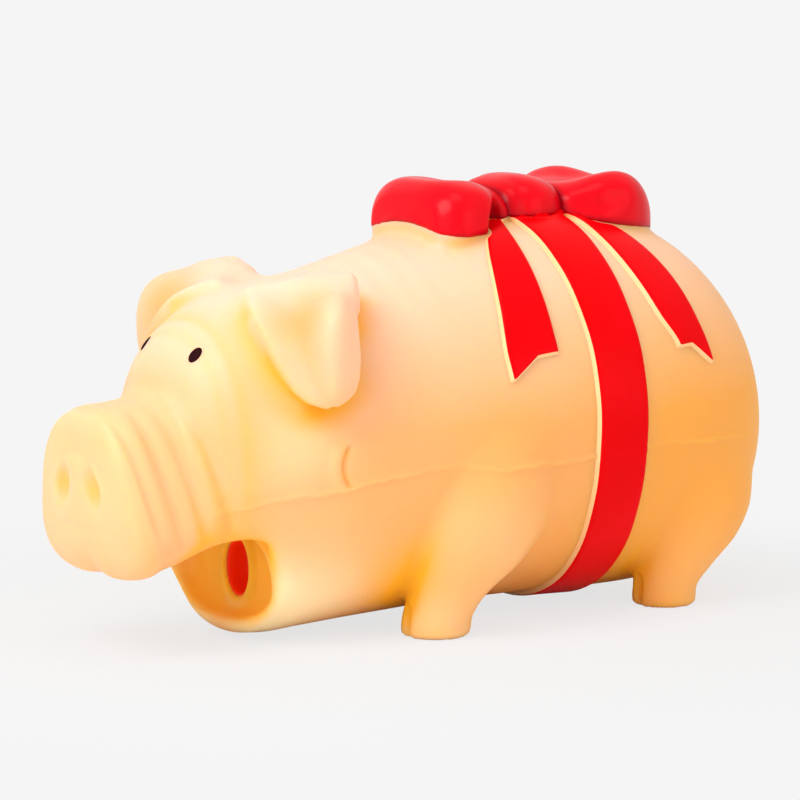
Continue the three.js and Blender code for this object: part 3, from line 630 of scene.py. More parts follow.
def cheek_crease(x, y, z):
    """The end of the smile: a short curved crease with a raised lip in front of it."""
    bend = -43.6 + 2.2 * ((z - 43.2) / 5.6) ** 2
    run = smoothstep(37.2, 39.2, z) * smoothstep(49.2, 47.2, z) * (x > 20)
    return run * (bell(y, bend, 0.55, 0.75) - bell(y, bend - 2.1, 1.5, 0.7))


def snout_face(x, y, z):
    """Creases on the snout's disc, as a depth, in the upright snout's terms."""
    arch = bell(z, 47.2 - 1.9 * (x / 8) ** 2, 1.3, 0.55) * smoothstep(14, 9, x)
    smile = bell(z, 29.8 - 0.6 * (x / 10) ** 2, 1.3, 0.35) * smoothstep(12, 6, x)
    bridge = bell(x, 0, 2.6, -0.5) * bell(z, 40, 6)
    dip = bell(x, 0, 3.0, 1.3) * smoothstep(26, 20, z) * smoothstep(-86, -91, y)
    return smoothstep(-91.5, -93.5, y) * (arch + smile + bridge) + dip


def trunk_field(x, y, z):
    return tube(TRUNK, x, y, z, rounding=4.0)


def skin(x, y, z):
    """The whole skin: trunk, ears, legs and snout joined, then the mouth, throat and toes cut."""
    x = np.abs(x)
    trunk = trunk_field(x, y, z)
    plinth = np.maximum(bow_base(x, y, z), trunk - PLINTH_DEPTH)
    trunk = joined(trunk, plinth, BOW_FILLET)
    away = joined(np.minimum(JAW_FRONT - y, MOUTH_TOP - z), MOUTH_HALF_WIDTH - x, MOUTH_CORNER)
    body = both(trunk, away, LIP_ROUNDING)
    body = joined(body, capsule(x, y, z, *CROWN), CROWN_FILLET)
    softer = np.maximum(smoothstep(-47, -54, y), smoothstep(76, 82, z) * smoothstep(30, 22, x))
    body = joined(body, ear(x, y, z), EAR_FILLET + EAR_FRONT_FILLET * softer)
    for table in (FRONT_LEG, REAR_LEG):
        body = joined(body, leg(table, x, y, z), LEG_FILLET)
    sx, sy, sz = upright_snout(x, y, z)
    body = joined(body, tube(SNOUT, sx, sy, sz, rounding=2.6), SNOUT_FILLET)
    body = body + wrinkles(x, y, z) + neck_waves(x, y, z) + cheek_crease(x, y, z) - seam(x, y, z)
    body = body + snout_face(sx, sy, sz)
    splayed = sx - NOSTRIL_SPLAY * (NOSTRIL_SPLAY_MIDDLE - z)
    body = carved(body, ellipsoid(splayed, sy, sz, *NOSTRIL), rounding=2.0)
    cup = both(tube(CUP, x, y, z), y - CUP_BACK, rounding=3.0)
    body = carved(body, cup, rounding=2.6)
    oval = np.sqrt((x / THROAT_HALF_WIDTH) ** 2 + ((z - THROAT_HEIGHT) / THROAT_HALF_HEIGHT) ** 2)
    around = (oval - COLLAR_SHARE) * THROAT_RADIUS
    collar = np.sqrt(around**2 + (y - CUP_BACK - COLLAR_BEHIND) ** 2) - COLLAR_RADIUS
    body = joined(body, collar, fillet=1.2)
    hole = np.maximum((oval - 1) * THROAT_RADIUS, np.maximum(y - THROAT_BACK, THROAT_FRONT - y))
    body = carved(body, hole, rounding=0.8)
    for place in TOE_SPLITS:
        low, high = (TOE_SPLIT_X, place, -1), (TOE_SPLIT_X, place + 0.8, TOE_SPLIT_HEIGHT)
        body = carved(body, capsule(x, y, z, low, high, TOE_SPLIT_RADIUS), rounding=0.9)
    body = body + bell(np.sqrt(x**2 + (y - PORT[0]) ** 2), *PORT_GROOVE) * (z < 20)
    return np.maximum(body, -z)


# Meshes from fields

def surface_nets(values, low, step):
    """Vertices and quads of the zero surface of a grid of values."""
    inside = values < 0
    corners = [(i, j, k) for i in (0, 1) for j in (0, 1) for k in (0, 1)]
    size = np.array(values.shape) - 1
    count = np.zeros(size, np.int8)
    for i, j, k in corners:
        count += inside[i:size[0] + i, j:size[1] + j, k:size[2] + k]
    cells = np.argwhere((count > 0) & (count < 8))
    index = np.full(size, -1, np.int64)
    index[tuple(cells.T)] = np.arange(len(cells))
    at = {c: values[tuple((cells + c).T)] for c in corners}
    total, hits = np.zeros((len(cells), 3)), np.zeros(len(cells))
    for a in corners:
        for axis in range(3):
            if a[axis]:
                continue
            b = tuple(v + (n == axis) for n, v in enumerate(a))
            crosses = (at[a] < 0) != (at[b] < 0)
            share = at[a] / np.where(crosses, at[a] - at[b], 1)
            place = np.tile(np.array(a, float), (len(cells), 1))
            place[:, axis] += share
            total += np.where(crosses[:, None], place, 0)
            hits += crosses
    points = low + (cells + total / hits[:, None]) * step
    quads = []
    for axis in range(3):
        here = [slice(None)] * 3
        there = [slice(None)] * 3
        here[axis], there[axis] = slice(None, -1), slice(1, None)
        first, second = inside[tuple(here)], inside[tuple(there)]
        edges = np.argwhere(first != second)
        u, v = (axis + 1) % 3, (axis + 2) % 3
        keep = (edges[:, u] > 0) & (edges[:, v] > 0)
        keep &= (edges[:, u] < size[u]) & (edges[:, v] < size[v])
        edges = edges[keep]
        ring = []
        for du, dv in ((1, 1), (0, 1), (0, 0), (1, 0)):
            cell = edges.copy()
            cell[:, u] -= du
            cell[:, v] -= dv
            ring.append(index[tuple(cell.T)])
        ring = np.stack(ring, 1)
        starts_inside = first[tuple(edges.T)]
        ring[~starts_inside] = ring[~starts_inside][:, ::-1]
        quads.append(ring)
    return points, np.concatenate(quads)


def gradient(field, points):
    reach = 0.12
    value = field(*points.T)
    columns = []
    for axis in range(3):
        moved = points.copy()
        moved[:, axis] += reach
        columns.append((field(*moved.T) - value) / reach)
    return np.stack(columns, 1), value


def settled(field, points, rounds=3, limit=0.6):
    """Points moved along the field's slope until they lie on its surface."""
    for _ in range(rounds):
        slope, value = gradient(field, points)
        steep = np.maximum((slope**2).sum(1), 0.25)
        move = slope * (value / steep)[:, None]
        length = np.linalg.norm(move, axis=1)[:, None]
        points = points - move * np.minimum(1, limit / np.maximum(length, 1e-9))
    return points


def normals_of(field, points):
    slope, _ = gradient(field, points)
    return slope / np.maximum(np.linalg.norm(slope, axis=1), 1e-9)[:, None]


def solid_from(field, low, high, step):
    """Mesh of a field that is the same on both sides of the middle."""
    x = (np.arange(int(high[0] / step) + 2) + 0.5) * step
    y = np.arange(low[1] - step, high[1] + 2 * step, step)
    z = np.arange(low[2] - step, high[2] + 2 * step, step)
    half = field(x[:, None, None], y[None, :, None], z[None, None, :])
    values = np.concatenate([half[::-1], half])
    points, quads = surface_nets(values, np.array([-x[-1], y[0], z[0]]), step)
    return settled(field, points), quads


def add_mesh(name, points, faces, smooth=True):
    mesh = bpy.data.meshes.new(name)
    mesh.from_pydata((np.asarray(points) * MM).tolist(), [], [list(map(int, f)) for f in faces])
    mesh.polygons.foreach_set("use_smooth", [smooth] * len(mesh.polygons))
    mesh.update()
    piece = bpy.data.objects.new(name, mesh)
    bpy.context.scene.collection.objects.link(piece)
    return piece


def ring_faces(count, spokes, closed=False):
    """Quads between rings of points, and from the last ring to the first where closed."""
    faces = []
    for r in range(count if closed else count - 1):
        onward = spokes if r + 1 < count else -r * spokes
        for s in range(spokes):
            a, b = r * spokes + s, r * spokes + (s + 1) % spokes
            faces.append((a, b, b + onward, a + onward))
    return faces


def disc(rings, spokes):
    """Shares of the radius, turns and faces of a round sheet, its middle first."""
    shares = np.concatenate([[0], np.repeat(np.arange(1, rings + 1) / rings, spokes)])
    turns = np.concatenate([[0], np.tile(2 * np.pi * np.arange(spokes) / spokes, rings)])
    fan = [(0, 1 + (s + 1) % spokes, 1 + s) for s in range(spokes)]
    return shares, turns, fan + [tuple(1 + a for a in face) for face in ring_faces(rings, spokes)]


def painted_shade_share(field, points, normals):
    """How shut in each point is, from 0 in the open to 1 deep in a recess; it sets the painted
    shade in recesses.
    """
    shade_amount = np.zeros(len(points))
    for reach, weight in ((1.5, 0.15), (4.0, 0.25), (9.0, 0.3), (18.0, 0.3)):
        free = field(*(points + normals * reach).T)
        shade_amount += weight * np.clip(1 - free / reach, 0, 1)
    return np.clip(shade_amount, 0, 1)


def evened(values, quads, rounds=4):
    """Values at the points of a mesh, averaged over their neighbours."""
    count = np.bincount(quads.ravel(), minlength=len(values))
    for _ in range(rounds):
        around = np.repeat(values[quads].mean(1), 4)
        values = np.bincount(quads.ravel(), around, minlength=len(values)) / np.maximum(count, 1)
    return values


def store(piece, name, values):
    layer = piece.data.attributes.new(name, "FLOAT", "POINT")
    layer.data.foreach_set("value", np.asarray(values, np.float32))


def install(piece, material, body, slot, *nodes):
    piece.data.materials.append(material)
    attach(piece, body)
    if nodes:
        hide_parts(*nodes)
    return piece


# Materials

def shader(name):
    material = bpy.data.materials.new(name)
    material.use_nodes = True
    tree = material.node_tree
    return material, tree, tree.nodes["Principled BSDF"]


def node(tree, kind, inputs=None, **settings):
    made = tree.nodes.new(kind)
    for key, value in settings.items():
        setattr(made, key, value)
    for key, value in (inputs or {}).items():
        made.inputs[key].default_value = value
    return made


def noise(tree, scale, detail=3.0, roughness=0.55):
    place = node(tree, "ShaderNodeTexCoord")
    grain = {"Scale": scale, "Detail": detail, "Roughness": roughness}
    made = node(tree, "ShaderNodeTexNoise", grain)
    tree.links.new(place.outputs["Object"], made.inputs["Vector"])
    return made.outputs["Fac"]


def ramp(tree, source, stops):
    made = node(tree, "ShaderNodeValToRGB")
    elements = made.color_ramp.elements
    while len(elements) < len(stops):
        elements.new(0.5)
    for element, (place, colour) in zip(elements, stops):
        element.position = place
        element.color = (*colour, 1)
    tree.links.new(source, made.inputs["Fac"])
    return made.outputs["Color"]


def bumped(tree, bsdf, heights):
    """Bump from (height socket, strength, distance in metres) in turn."""
    last = None
    for source, strength, distance in heights:
        bump = node(tree, "ShaderNodeBump", {"Strength": strength, "Distance": distance})
        tree.links.new(source, bump.inputs["Height"])
        if last:
            tree.links.new(last.outputs["Normal"], bump.inputs["Normal"])
        last = bump
    tree.links.new(last.outputs["Normal"], bsdf.inputs["Normal"])


def mixed(tree, share, a, b):
    """Colour mix; share, a and b are sockets or values."""
    made = node(tree, "ShaderNodeMix", data_type="RGBA")
    for socket, value in ((made.inputs[0], share), (made.inputs[6], a), (made.inputs[7], b)):
        if hasattr(value, "links"):
            tree.links.new(value, socket)
        else:
            socket.default_value = (*value, 1)
    return made.outputs[2]


def fac(tree, attribute):
    """A value stored at the points of the mesh."""
    return node(tree, "ShaderNodeAttribute", attribute_name=attribute).outputs["Fac"]


def mapped(tree, source, low, high, start=0.0, end=1.0, **settings):
    """A value taken from one range to another."""
    limits = {"From Min": low, "From Max": high, "To Min": start, "To Max": end}
    made = node(tree, "ShaderNodeMapRange", limits, **settings)
    tree.links.new(source, made.inputs["Value"])
    return made.outputs["Result"]


def finish_coat(tree, bsdf, colour, roughness, specular):
    tree.links.new(colour, bsdf.inputs["Base Color"])
    bsdf.inputs["Roughness"].default_value = roughness
    bsdf.inputs["Specular IOR Level"].default_value = specular


# Latex colours: a pale one for lit parts and a warm one for shaded parts, mixed as painted light
# and shade; then a painted shade for recesses, a painted warm shade, and a painted light for parts
# lit from below
LATEX_LIT_PALE = (1.0, 0.61, 0.44)
LATEX_SHADED_WARM = (1.0, 0.395, 0.045)
LATEX_PAINTED_SHADE = (1.0, 0.45, 0.016)
LATEX_PAINTED_WARM_SHADE = (1.0, 0.40, 0.13)
LATEX_PAINTED_LIGHT = (1.0, 0.80, 0.47)
# Painted light and shade: the colour is palest on the brow and back, as painted light from above,
# and warms towards the rump as painted shade; clouds vary it at random
WARMTH = 0.86
PAINTED_SHADE_PER_METRE = 3.2
PAINTED_LIGHT_ABOVE = (0.050, 0.085, 0.74)
WARMTH_CLOUDS = 0.3
# How the painted shade in a recess deepens the colour and dulls the gloss: from, to, and the
# result at each
PAINTED_SHADE_DEEPENS = (0.12, 0.66, 0.0, 0.95)
PAINTED_SHADE_DULLS = (0.25, 0.6, 0.5, 0.1)


def latex_material(name, with_painted_shading):
    material, tree, bsdf = shader(name)
    place = node(tree, "ShaderNodeTexCoord")
    parts = node(tree, "ShaderNodeSeparateXYZ")
    tree.links.new(place.outputs["Object"], parts.inputs[0])
    # Painted light on top: the colour pales above one height
    low, high, lost = PAINTED_LIGHT_ABOVE
    painted_top_light = mapped(tree, parts.outputs["Z"], low, high, end=-lost)
    cloud = noise(tree, 26, 2)
    terms = [(parts.outputs["Y"], PAINTED_SHADE_PER_METRE), (cloud, WARMTH_CLOUDS), (painted_top_light, 1.0)]
    total = None
    for source, factor in terms:
        term = node(tree, "ShaderNodeMath", operation="MULTIPLY_ADD")
        term.inputs[1].default_value = factor
        term.inputs[2].default_value = WARMTH - WARMTH_CLOUDS / 2
        tree.links.new(source, term.inputs[0])
        if total:
            tree.links.new(total.outputs[0], term.inputs[2])
        total = term
    shade_and_tone = node(tree, "ShaderNodeClamp")
    tree.links.new(total.outputs[0], shade_and_tone.inputs["Value"])
    colour = mixed(tree, shade_and_tone.outputs[0], LATEX_LIT_PALE, LATEX_SHADED_WARM)
    if with_painted_shading:
        # Painted light and shade from values stored on the mesh: painted light on low parts lit
        # from below, painted warm shade, and painted shade that deepens the colour and dulls the
        # gloss in recesses
        shade_amount = fac(tree, "painted_shade")
        colour = mixed(tree, fac(tree, "light"), colour, LATEX_PAINTED_LIGHT)
        colour = mixed(tree, fac(tree, "painted_warm_shade"), colour, LATEX_PAINTED_WARM_SHADE)
        reach = mapped(tree, shade_amount, *PAINTED_SHADE_DEEPENS, interpolation_type="SMOOTHSTEP")
        colour = mixed(tree, reach, colour, LATEX_PAINTED_SHADE)
        dull = mapped(tree, shade_amount, *PAINTED_SHADE_DULLS)
        tree.links.new(dull, bsdf.inputs["Specular IOR Level"])
    finish_coat(tree, bsdf, colour, roughness=0.5, specular=0.5)
    bsdf.inputs["Subsurface Weight"].default_value = 0.55
    bsdf.inputs["Subsurface Radius"].default_value = (1.0, 0.42, 0.14)
    bsdf.inputs["Subsurface Scale"].default_value = 0.008
    fine = noise(tree, 2600, 2)
    broad = noise(tree, 190, 3)
    bumped(tree, bsdf, [(broad, 0.10, 0.0004), (fine, 0.06, 0.0001)])
    return material


# Darker red, painted as shade in the coat's recesses
RED_PAINTED_SHADE = (0.34, 0.0, 0.006)


def red_material(name, gloss, blue):
    material, tree, bsdf = shader(name)
    tones = [(0.3, (0.78, 0, blue)), (0.7, (0.85, 0, blue + 0.003))]
    tone = ramp(tree, noise(tree, 60, 3), tones)
    # The red darkens as painted shade where the stored shade is high
    reach = mapped(tree, fac(tree, "painted_shade"), 0.2, 0.7)
    colour = mixed(tree, reach, tone, RED_PAINTED_SHADE)
    finish_coat(tree, bsdf, colour, roughness=0.24, specular=gloss)
    broad = noise(tree, 200, 2)
    fine = noise(tree, 1800, 2)
    bumped(tree, bsdf, [(broad, 0.06, 0.0004), (fine, 0.04, 0.0001)])
    return material


def coat(name, cloud, tones, roughness, specular, bump):
    """A colour that wanders between two tones, over fine bumps: cloud is (scale, detail), bump
    (scale, detail, strength, distance)."""
    material, tree, bsdf = shader(name)
    finish_coat(tree, bsdf, ramp(tree, noise(tree, *cloud), tones), roughness, specular)
    scale, detail, strength, distance = bump
    bumped(tree, bsdf, [(noise(tree, scale, detail), strength, distance)])
    return material


def plastic_material(name, colour, roughness, scale):
    tones = [(0.35, tuple(c * 0.93 for c in colour)), (0.65, colour)]
    return coat(name, (scale, 3), tones, roughness, 0.5, (scale * 12, 3, 0.15, 0.0001))


def fibre_material():
    material, tree, bsdf = shader("wadding")
    strands = noise(tree, 420, 8, 0.8)
    tone = ramp(tree, strands, [(0.35, (0.78, 0.77, 0.74)), (0.6, (0.93, 0.92, 0.90))])
    finish_coat(tree, bsdf, tone, roughness=0.95, specular=0.5)
    bsdf.inputs["Sheen Weight"].default_value = 0.4
    bumped(tree, bsdf, [(strands, 0.8, 0.0012)])
    return material


LATEX = latex_material("latex", with_painted_shading=True)
PATCH_LATEX = latex_material("patch_latex", with_painted_shading=False)
# Bare latex along the ribbons' edges, paler because it is thin
BORDER_LATEX = coat(
    "border_latex", (60, 2), [(0.3, (1.0, 0.60, 0.27)), (0.7, (1.0, 0.66, 0.33))],
    roughness=0.5, specular=0.3, bump=(190, 3, 0.1, 0.0003),
)
RED = red_material("red_coat", gloss=0.05, blue=0.001)
BOW_RED = red_material("bow_coat", gloss=0.12, blue=0.006)
# The lining of the throat is thin enough for light to come through
THROAT_RED = coat(
    "throat_coat", (80, 3), [(0.3, (0.92, 0.022, 0.001)), (0.7, (1.0, 0.05, 0.003))],
    roughness=0.4, specular=0.15, bump=(1800, 2, 0.05, 0.0001),
)
EYE_COAT = coat(
    "eye_coat", (900, 2), [(0.3, (0.016, 0.002, 0.003)), (0.7, (0.026, 0.003, 0.004))],
    roughness=0.55, specular=0.04, bump=(2500, 2, 0.1, 0.0001),
)

# Skin

skin_points, skin_quads = solid_from(skin, *SKIN_BOX, SKIN_STEP)
skin_piece = add_mesh("latex_skin_surface", skin_points, skin_quads)
left_side = np.column_stack([np.abs(skin_points[:, 0]), skin_points[:, 1:]])


def patches(table):
    total = 0
    for centre, reach, strength in table:
        total = total + bell(np.linalg.norm(left_side - centre, axis=1), 0, reach, strength)
    return total


# The rump is open all round, so it gets no painted shade
rump = smoothstep(64, 80, skin_points[:, 1]) * smoothstep(20, 32, skin_points[:, 2])
shade_amount = painted_shade_share(skin, skin_points, normals_of(skin, skin_points)) * (1 - rump)
# Painted shade in recesses, painted warm shade and painted light, stored on the skin for its
# material
store(skin_piece, "painted_shade", evened(shade_amount + patches(PAINTED_SHADE_PATCHES), skin_quads))
store(skin_piece, "painted_warm_shade", patches(PAINTED_WARM_SHADE_PATCHES))
store(skin_piece, "light", patches(PAINTED_LIGHT_PATCHES))
install(skin_piece, LATEX, "toy", "latex", "latex_skin")

# Ribbon

def edge_height(inset):
    """Height of a ribbon above the skin, by how far in from its edge."""
    return np.interp(inset, *np.transpose(RIBBON_EDGE))


def ribbon(name, rows, heights, red, closed, node_name):
    """A ribbon in relief over a grid of points, its border of latex and its face coated red."""
    count, across = rows.shape[:2]
    base = settled(skin, rows.reshape(-1, 3), rounds=4)
    normal = normals_of(skin, base)
    top = base + normal * np.reshape(heights, (-1, 1))
    bottom = base - normal * RIBBON_SUNK
    size = count * across
    end, stop = across - 1, count - 1

    def at(r, c):
        return (r % count) * across + c

    faces, slots = [], []
    for r in range(count if closed else stop):
        for c in range(end):
            quad = at(r, c), at(r, c + 1), at(r + 1, c + 1), at(r + 1, c)
            faces += [quad, tuple(size + a for a in (quad[0], *quad[:0:-1]))]
            slots += [int(red[r][c]), 0]
        faces.append((at(r, 0), at(r + 1, 0), size + at(r + 1, 0), size + at(r, 0)))
        faces.append((at(r, end), size + at(r, end), size + at(r + 1, end), at(r + 1, end)))
        slots += [0, 0]
    for c in range(0 if closed else end):
        faces.append((at(0, c), size + at(0, c), size + at(0, c + 1), at(0, c + 1)))
        faces.append((at(stop, c), at(stop, c + 1), size + at(stop, c + 1), size + at(stop, c)))
        slots += [0, 0]
    piece = add_mesh(name, np.concatenate([top, bottom]), faces)
    install(piece, BORDER_LATEX, "toy", "red_coat", node_name)
    piece.data.materials.append(RED)
    piece.data.polygons.foreach_set("material_index", slots)


def ribbon_band(steps):
    insets = np.array(RIBBON_EDGE)[:, 0]
    inner = np.linspace(insets[-1], BAND_WIDTH - insets[-1], 12)[1:-1]
    across = np.concatenate([insets, inner, BAND_WIDTH - insets[::-1]])
    depth = np.minimum(across, BAND_WIDTH - across)
    coated = np.minimum(depth[1:], depth[:-1]) >= RIBBON_COAT_INSET
    angle = (90 - 360 * np.arange(steps) / steps)[:, None]
    folded = np.where(angle < -90, -180 - angle, angle)
    rows = trunk_point(band_middle(folded) - BAND_WIDTH / 2 + across, angle)
    heights, red = np.tile(edge_height(depth), (steps, 1)), np.tile(coated, (steps, 1))
    ribbon("ribbon_band_relief", rows, heights, red, True, "ribbon_band")


def ribbon_tail(tail, side, word, place, steps):
    """A ribbon end: its grid lines follow both edges and the notched tip."""
    insets = np.array(RIBBON_EDGE)[:, 0]
    deepest, ones = insets[-1], np.ones(len(insets))
    inner = np.linspace(0, 1, 20)[1:-1]
    shares = np.concatenate([0 * ones, inner, ones])
    reach = np.concatenate([insets, np.full(len(inner), deepest), insets[::-1]])
    down = np.concatenate([np.linspace(0, 1, steps, endpoint=False), ones])[:, None]
    tip = np.concatenate([np.full(steps, deepest), insets[::-1]])[:, None]
    low = tail_end(tail, shares) + tip / MM_PER_DEGREE * TIP_STRETCH
    angle = TAIL_TOP_ANGLE + (low - TAIL_TOP_ANGLE) * down
    fore, aft = rows_at(tail["fore"], angle)[0], rows_at(tail["aft"], angle)[0]
    y = fore + reach + (aft - fore - 2 * reach) * shares
    rows = trunk_point(y, angle if side > 0 else 180 - angle)
    depth = np.minimum(reach, tip)
    cover = depth >= RIBBON_COAT_INSET
    red = cover[:-1, :-1] & cover[1:, :-1] & cover[:-1, 1:] & cover[1:, 1:]
    name = f"ribbon_tail_{place}_{word}"
    ribbon(f"{name}_relief", rows, edge_height(depth), red, False, name)


ribbon_band(steps=240)
for side, word in ((1, "left"), (-1, "right")):
    for tail, place in ((FRONT_TAIL, "front"), (REAR_TAIL, "rear")):
        ribbon_tail(tail, side, word, place, steps=70)


# Bow

def paint_line(y):
    """Height above the back where the bow's red coat starts."""
    return 0.8 + 2.2 * smoothstep(12, -2, y)


def coated(shape):
    """A shape's coat, proud of the skin above the paint line and diving into it below."""
    def field(x, y, z):
        x = np.abs(x)
        above = trunk_field(x, y, z) - paint_line(y)
        proud = BOW_COAT * smoothstep(-0.45, 0.45, above)
        proud = proud - BOW_DIVE * smoothstep(0.45, -0.45, above)
        return np.maximum(shape(x, y, z) - proud, -1.4 - above)
    return field


def bow_and_back(x, y, z):
    return np.minimum(bow_base(np.abs(x), y, z), trunk_field(x, y, z))


for shape, table, name in (
    (knot, KNOT, "bow_knot"),
    (front_loop, FRONT_LOOP, "bow_loop_front"),
    (rear_loop, REAR_LOOP, "bow_loop_rear"),
):
    half_width, bottom, top = BOW_BOX
    low, high = (0, table[0][0] - 1, bottom), (half_width, table[-1][0] + 1, top)
    points, quads = solid_from(coated(shape), low, high, BOW_STEP)
    piece = install(add_mesh(f"{name}_coat", points, quads), BOW_RED, "toy", "red_coat", name)
    # Painted shade in the bow's creases, from how shut in each point is against the bow and the
    # back
    shade_amount = painted_shade_share(bow_and_back, points, normals_of(coated(shape), points))
    store(piece, "painted_shade", evened(shade_amount, quads))

# Eyes: thin domed ovals on the brow

for side, word in ((1, "left"), (-1, "right")):
    place, angle, width, height, tilt = EYE
    angle += RIGHT_EYE_HIGHER * (side < 0)
    centre = settled(skin, trunk_point(np.array([place]), angle))[0]
    normal = normals_of(skin, centre[None])[0]
    up = np.array([0, 0, 1.0]) - normal * normal[2]
    up /= np.linalg.norm(up)
    back = np.cross(normal, up)
    back *= np.sign(back[1])
    up = up * math.cos(math.radians(tilt)) + back * math.sin(math.radians(tilt))
    along = np.cross(up, normal)
    shares, turns, faces = disc(rings=8, spokes=40)
    points = centre + np.outer(width / 2 * shares * np.cos(turns), along)
    points = settled(skin, points + np.outer(height / 2 * shares * np.sin(turns), up))
    lift = EYE_DOME * np.sqrt(np.maximum(1 - shares**2, 0)) - EYE_SUNK
    points = points + normals_of(skin, points) * lift[:, None]
    points[:, 0] *= side
    faces = [(face[0], *face[:0:-1])[::side] for face in faces]
    piece = add_mesh(f"eye_{word}_coat", points, faces)
    install(piece, EYE_COAT, "toy", "eye_coat", f"eye_{word}")

# Throat lining: a red cup behind the collar

def throat_ring(behind, share, spokes=48):
    turn = 2 * np.pi * np.arange(spokes) / spokes
    x = THROAT_HALF_WIDTH * share * np.cos(turn)
    z = THROAT_HEIGHT + THROAT_HALF_HEIGHT * share * np.sin(turn)
    return np.stack([x, np.full(spokes, CUP_BACK + behind), z], -1)


# How far behind the back of the cup each ring lies, and its share of the throat's width
LINER = [
    [5.0, 1.06], [0.2, 1.06], [-0.35, 1.0], [0.2, 0.93],
    [2.0, 0.90], [4.6, 0.86], [5.0, 0.78], [5.0, 0.3],
]
rings = [throat_ring(*row) for row in LINER]
spokes = len(rings[0])
faces = ring_faces(len(rings), spokes)
last, middle = (len(rings) - 1) * spokes, len(rings) * spokes
faces += [(last + s, last + (s + 1) % spokes, middle) for s in range(spokes)]
liner = add_mesh("throat_liner_coat", np.concatenate([*rings, rings[-1].mean(0)[None]]), faces)
install(liner, THROAT_RED, "toy", "red_coat", "throat_liner")

# Patch over the filling port

port_y, port_radius = PORT
shares, turns, faces = disc(rings=8, spokes=48)
radii = port_radius * shares
points = [radii * np.cos(turns), port_y + radii * np.sin(turns), np.full(len(turns), PORT_HEIGHT)]
points = settled(skin, np.stack(points, -1), rounds=5, limit=1.5)
lift = np.where(shares > 0.99, PATCH_RIM, PATCH_LIFT)
points = points + normals_of(skin, points) * lift[:, None]
patch = add_mesh("filling_port_patch_surface", points, faces)
install(patch, PATCH_LATEX, "toy", "latex", "filling_port_patch")

# Bellows, made once at rest; on the toy it folds up as its end cap moves in

def bellows_mesh(name, axis, spokes=72, steps_per_fold=12):
    steps = BELLOWS_FOLDS * steps_per_fold
    fold = np.arange(steps + 1) / steps_per_fold
    wave = 0.5 - 0.5 * np.cos(2 * np.pi * fold)
    radius = BELLOWS_NECK + (BELLOWS_RADIUS - BELLOWS_NECK) * wave
    along = BELLOWS_START + BELLOWS_LENGTH * np.arange(steps + 1) / steps
    profile = [*zip(radius, along), *zip(radius[::-1] - BELLOWS_WALL, along[::-1])]
    across, up = np.array([1.0, 0, 0]), np.cross(axis, [1.0, 0, 0])
    turn = 2 * np.pi * np.arange(spokes) / spokes
    outward = np.outer(np.cos(turn), across) + np.outer(np.sin(turn), up)
    points = np.concatenate([NOZZLE_TIP + axis * s + outward * r for r, s in profile])
    return add_mesh(name, points, ring_faces(len(profile), spokes, closed=True))


grunter_axis = np.array([0, math.cos(GRUNTER_TILT), math.sin(GRUNTER_TILT)])
bellows = bellows_mesh("grunter_bellows_folds", grunter_axis)
bellows_material = plastic_material("grunter_bellows", (0.86, 0.85, 0.80), 0.55, 60)
install(bellows, bellows_material, "toy", "bellows_plastic", "grunter_bellows")
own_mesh(bellows)

# Pieces inside, kept as the CAD has them

# Plastics: colour, roughness, scale of the clouds in it
PLASTICS = {
    "voice_housing": ((0.80, 0.79, 0.74), 0.45, 90),
    "reed_block": ((0.78, 0.77, 0.72), 0.45, 90),
    "reed_clip": ((0.78, 0.77, 0.72), 0.45, 90),
    "reed": ((0.70, 0.58, 0.30), 0.35, 160),
    "grunter_end_cap": ((0.80, 0.79, 0.74), 0.45, 90),
}
inside = {name: fibre_material() for name in ("body_wadding", "head_wadding")}
inside |= {name: plastic_material(name, *terms) for name, terms in PLASTICS.items()}
for name, material in inside.items():
    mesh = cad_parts[name].data
    mesh.materials.clear()
    mesh.materials.append(material)

# Camera

CAMERA_AZIMUTH = 54
CAMERA_ELEVATION = 7.5
CAMERA_DISTANCE = 0.960
CAMERA_TARGET = Vector((0, -0.0035, 0.052))
CAMERA_LENS = 180


def aimed(thing, azimuth, elevation, distance):
    """Puts a camera or a lamp into the scene, turned towards the target."""
    azimuth, elevation = math.radians(azimuth), math.radians(elevation)
    outward = Vector((
        math.sin(azimuth) * math.cos(elevation),
        -math.cos(azimuth) * math.cos(elevation),
        math.sin(elevation),
    ))
    place = CAMERA_TARGET + outward * distance
    thing.location = place
    thing.rotation_euler = (CAMERA_TARGET - place).to_track_quat("-Z", "Y").to_euler()
    bpy.context.scene.collection.objects.link(thing)


camera = bpy.data.objects.new("camera", bpy.data.cameras.new("camera"))
camera.data.lens = CAMERA_LENS
camera.data.sensor_width = 36
camera.data.clip_start = 0.01
aimed(camera, CAMERA_AZIMUTH, CAMERA_ELEVATION, CAMERA_DISTANCE)
bpy.context.scene.camera = camera

# Light and background

# Lamps: azimuth, elevation, distance, size, power
LAMPS = {
    "key": (14, 42, 0.5, 0.3, 1.45),
    "top": (70, 74, 0.9, 0.5, 1.15),
    "front_fill": (24, 4, 1.1, 0.8, 1.3),
    "rear_fill": (112, 8, 1.1, 0.8, 1.25),
}
AMBIENT = 0.76
BACKGROUND = 0.913

for name, (azimuth, elevation, distance, size, power) in LAMPS.items():
    data = bpy.data.lights.new(name, "AREA")
    data.shape = "DISK"
    data.size = size
    data.energy = power
    aimed(bpy.data.objects.new(name, data), azimuth, elevation, distance)


def grey(level):
    return (level, level, level, 1)


def shader_mix(tree, share, first, second):
    made = node(tree, "ShaderNodeMixShader")
    for source, socket in zip((share, first, second), made.inputs):
        tree.links.new(source, socket)
    return made.outputs[0]


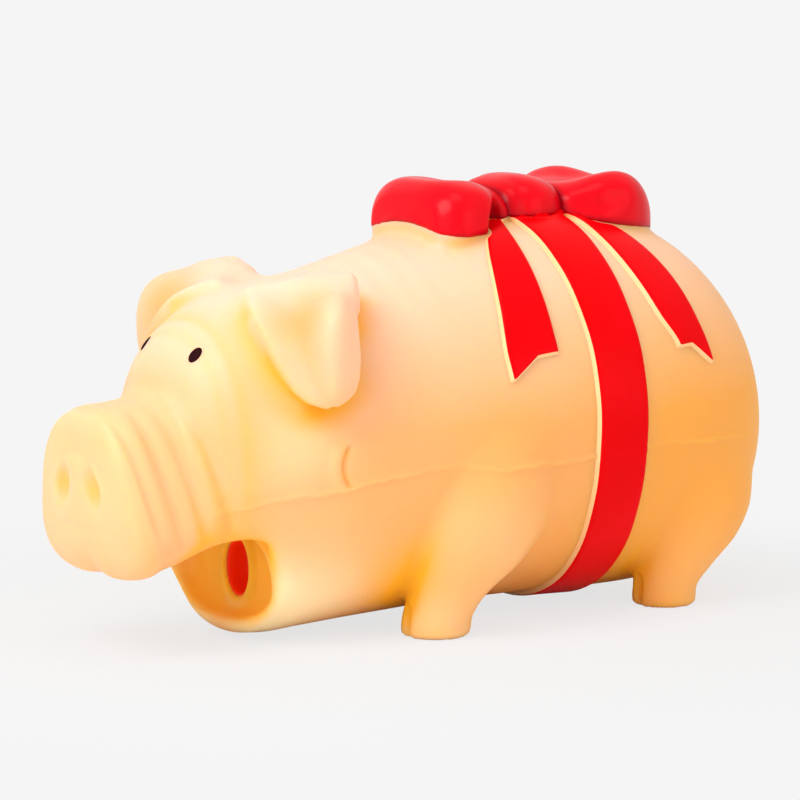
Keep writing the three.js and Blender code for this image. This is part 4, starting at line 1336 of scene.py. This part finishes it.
world = bpy.data.worlds.new("studio")
bpy.context.scene.world = world
world.use_nodes = True
tree = world.node_tree
tree.nodes.clear()
path = node(tree, "ShaderNodeLightPath")
ambient = node(tree, "ShaderNodeBackground", {"Color": grey(1), "Strength": AMBIENT})
seen = node(tree, "ShaderNodeBackground", {"Color": grey(BACKGROUND), "Strength": 1})
sky = shader_mix(tree, path.outputs["Is Camera Ray"], ambient.outputs[0], seen.outputs[0])
tree.links.new(sky, node(tree, "ShaderNodeOutputWorld").inputs["Surface"])

# Floor

FLOOR_RADIUS = 0.6
FLOOR_SIDES = 64
FLOOR_GLOW = 0.85
FLOOR_LEVEL = 0.875
# Distances from the middle over which the floor fades
FLOOR_FADE = (0.10, 0.19)


def floor_material():
    """A pale matt floor that fades into the background, so that only the soft shadow shows."""
    material, tree, bsdf = shader("floor")
    place = node(tree, "ShaderNodeTexCoord")
    far = node(tree, "ShaderNodeVectorMath", operation="LENGTH")
    tree.links.new(place.outputs["Object"], far.inputs[0])
    fade = mapped(tree, far.outputs["Value"], *FLOOR_FADE, interpolation_type="SMOOTHSTEP")
    tones = [(0.3, (0.855,) * 3), (0.7, (0.865,) * 3)]
    tone = ramp(tree, noise(tree, 300, 2), tones)
    finish_coat(tree, bsdf, tone, roughness=0.9, specular=0.0)
    glow = node(tree, "ShaderNodeEmission", {"Color": grey(FLOOR_LEVEL), "Strength": 1})
    seen = node(tree, "ShaderNodeLightPath").outputs["Is Camera Ray"]
    level = node(tree, "ShaderNodeMath", operation="MULTIPLY")
    level.inputs[1].default_value = FLOOR_GLOW
    tree.links.new(seen, level.inputs[0])
    near = shader_mix(tree, level.outputs[0], bsdf.outputs[0], glow.outputs[0])
    clear = node(tree, "ShaderNodeBsdfTransparent")
    gone = node(tree, "ShaderNodeMath", operation="MULTIPLY")
    tree.links.new(fade, gone.inputs[0])
    tree.links.new(seen, gone.inputs[1])
    surface = shader_mix(tree, gone.outputs[0], near, clear.outputs[0])
    tree.links.new(surface, tree.nodes["Material Output"].inputs["Surface"])
    return material


turn = 2 * np.pi * np.arange(FLOOR_SIDES) / FLOOR_SIDES
rim = FLOOR_RADIUS / MM * np.stack([np.cos(turn), np.sin(turn), 0 * turn], -1)
floor = add_mesh("floor", rim, [range(FLOOR_SIDES)], smooth=False)
floor.data.materials.append(floor_material())
floor.location.z = -0.0001
floor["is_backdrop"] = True

bpy.context.scene.view_settings.view_transform = "Standard"

low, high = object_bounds()
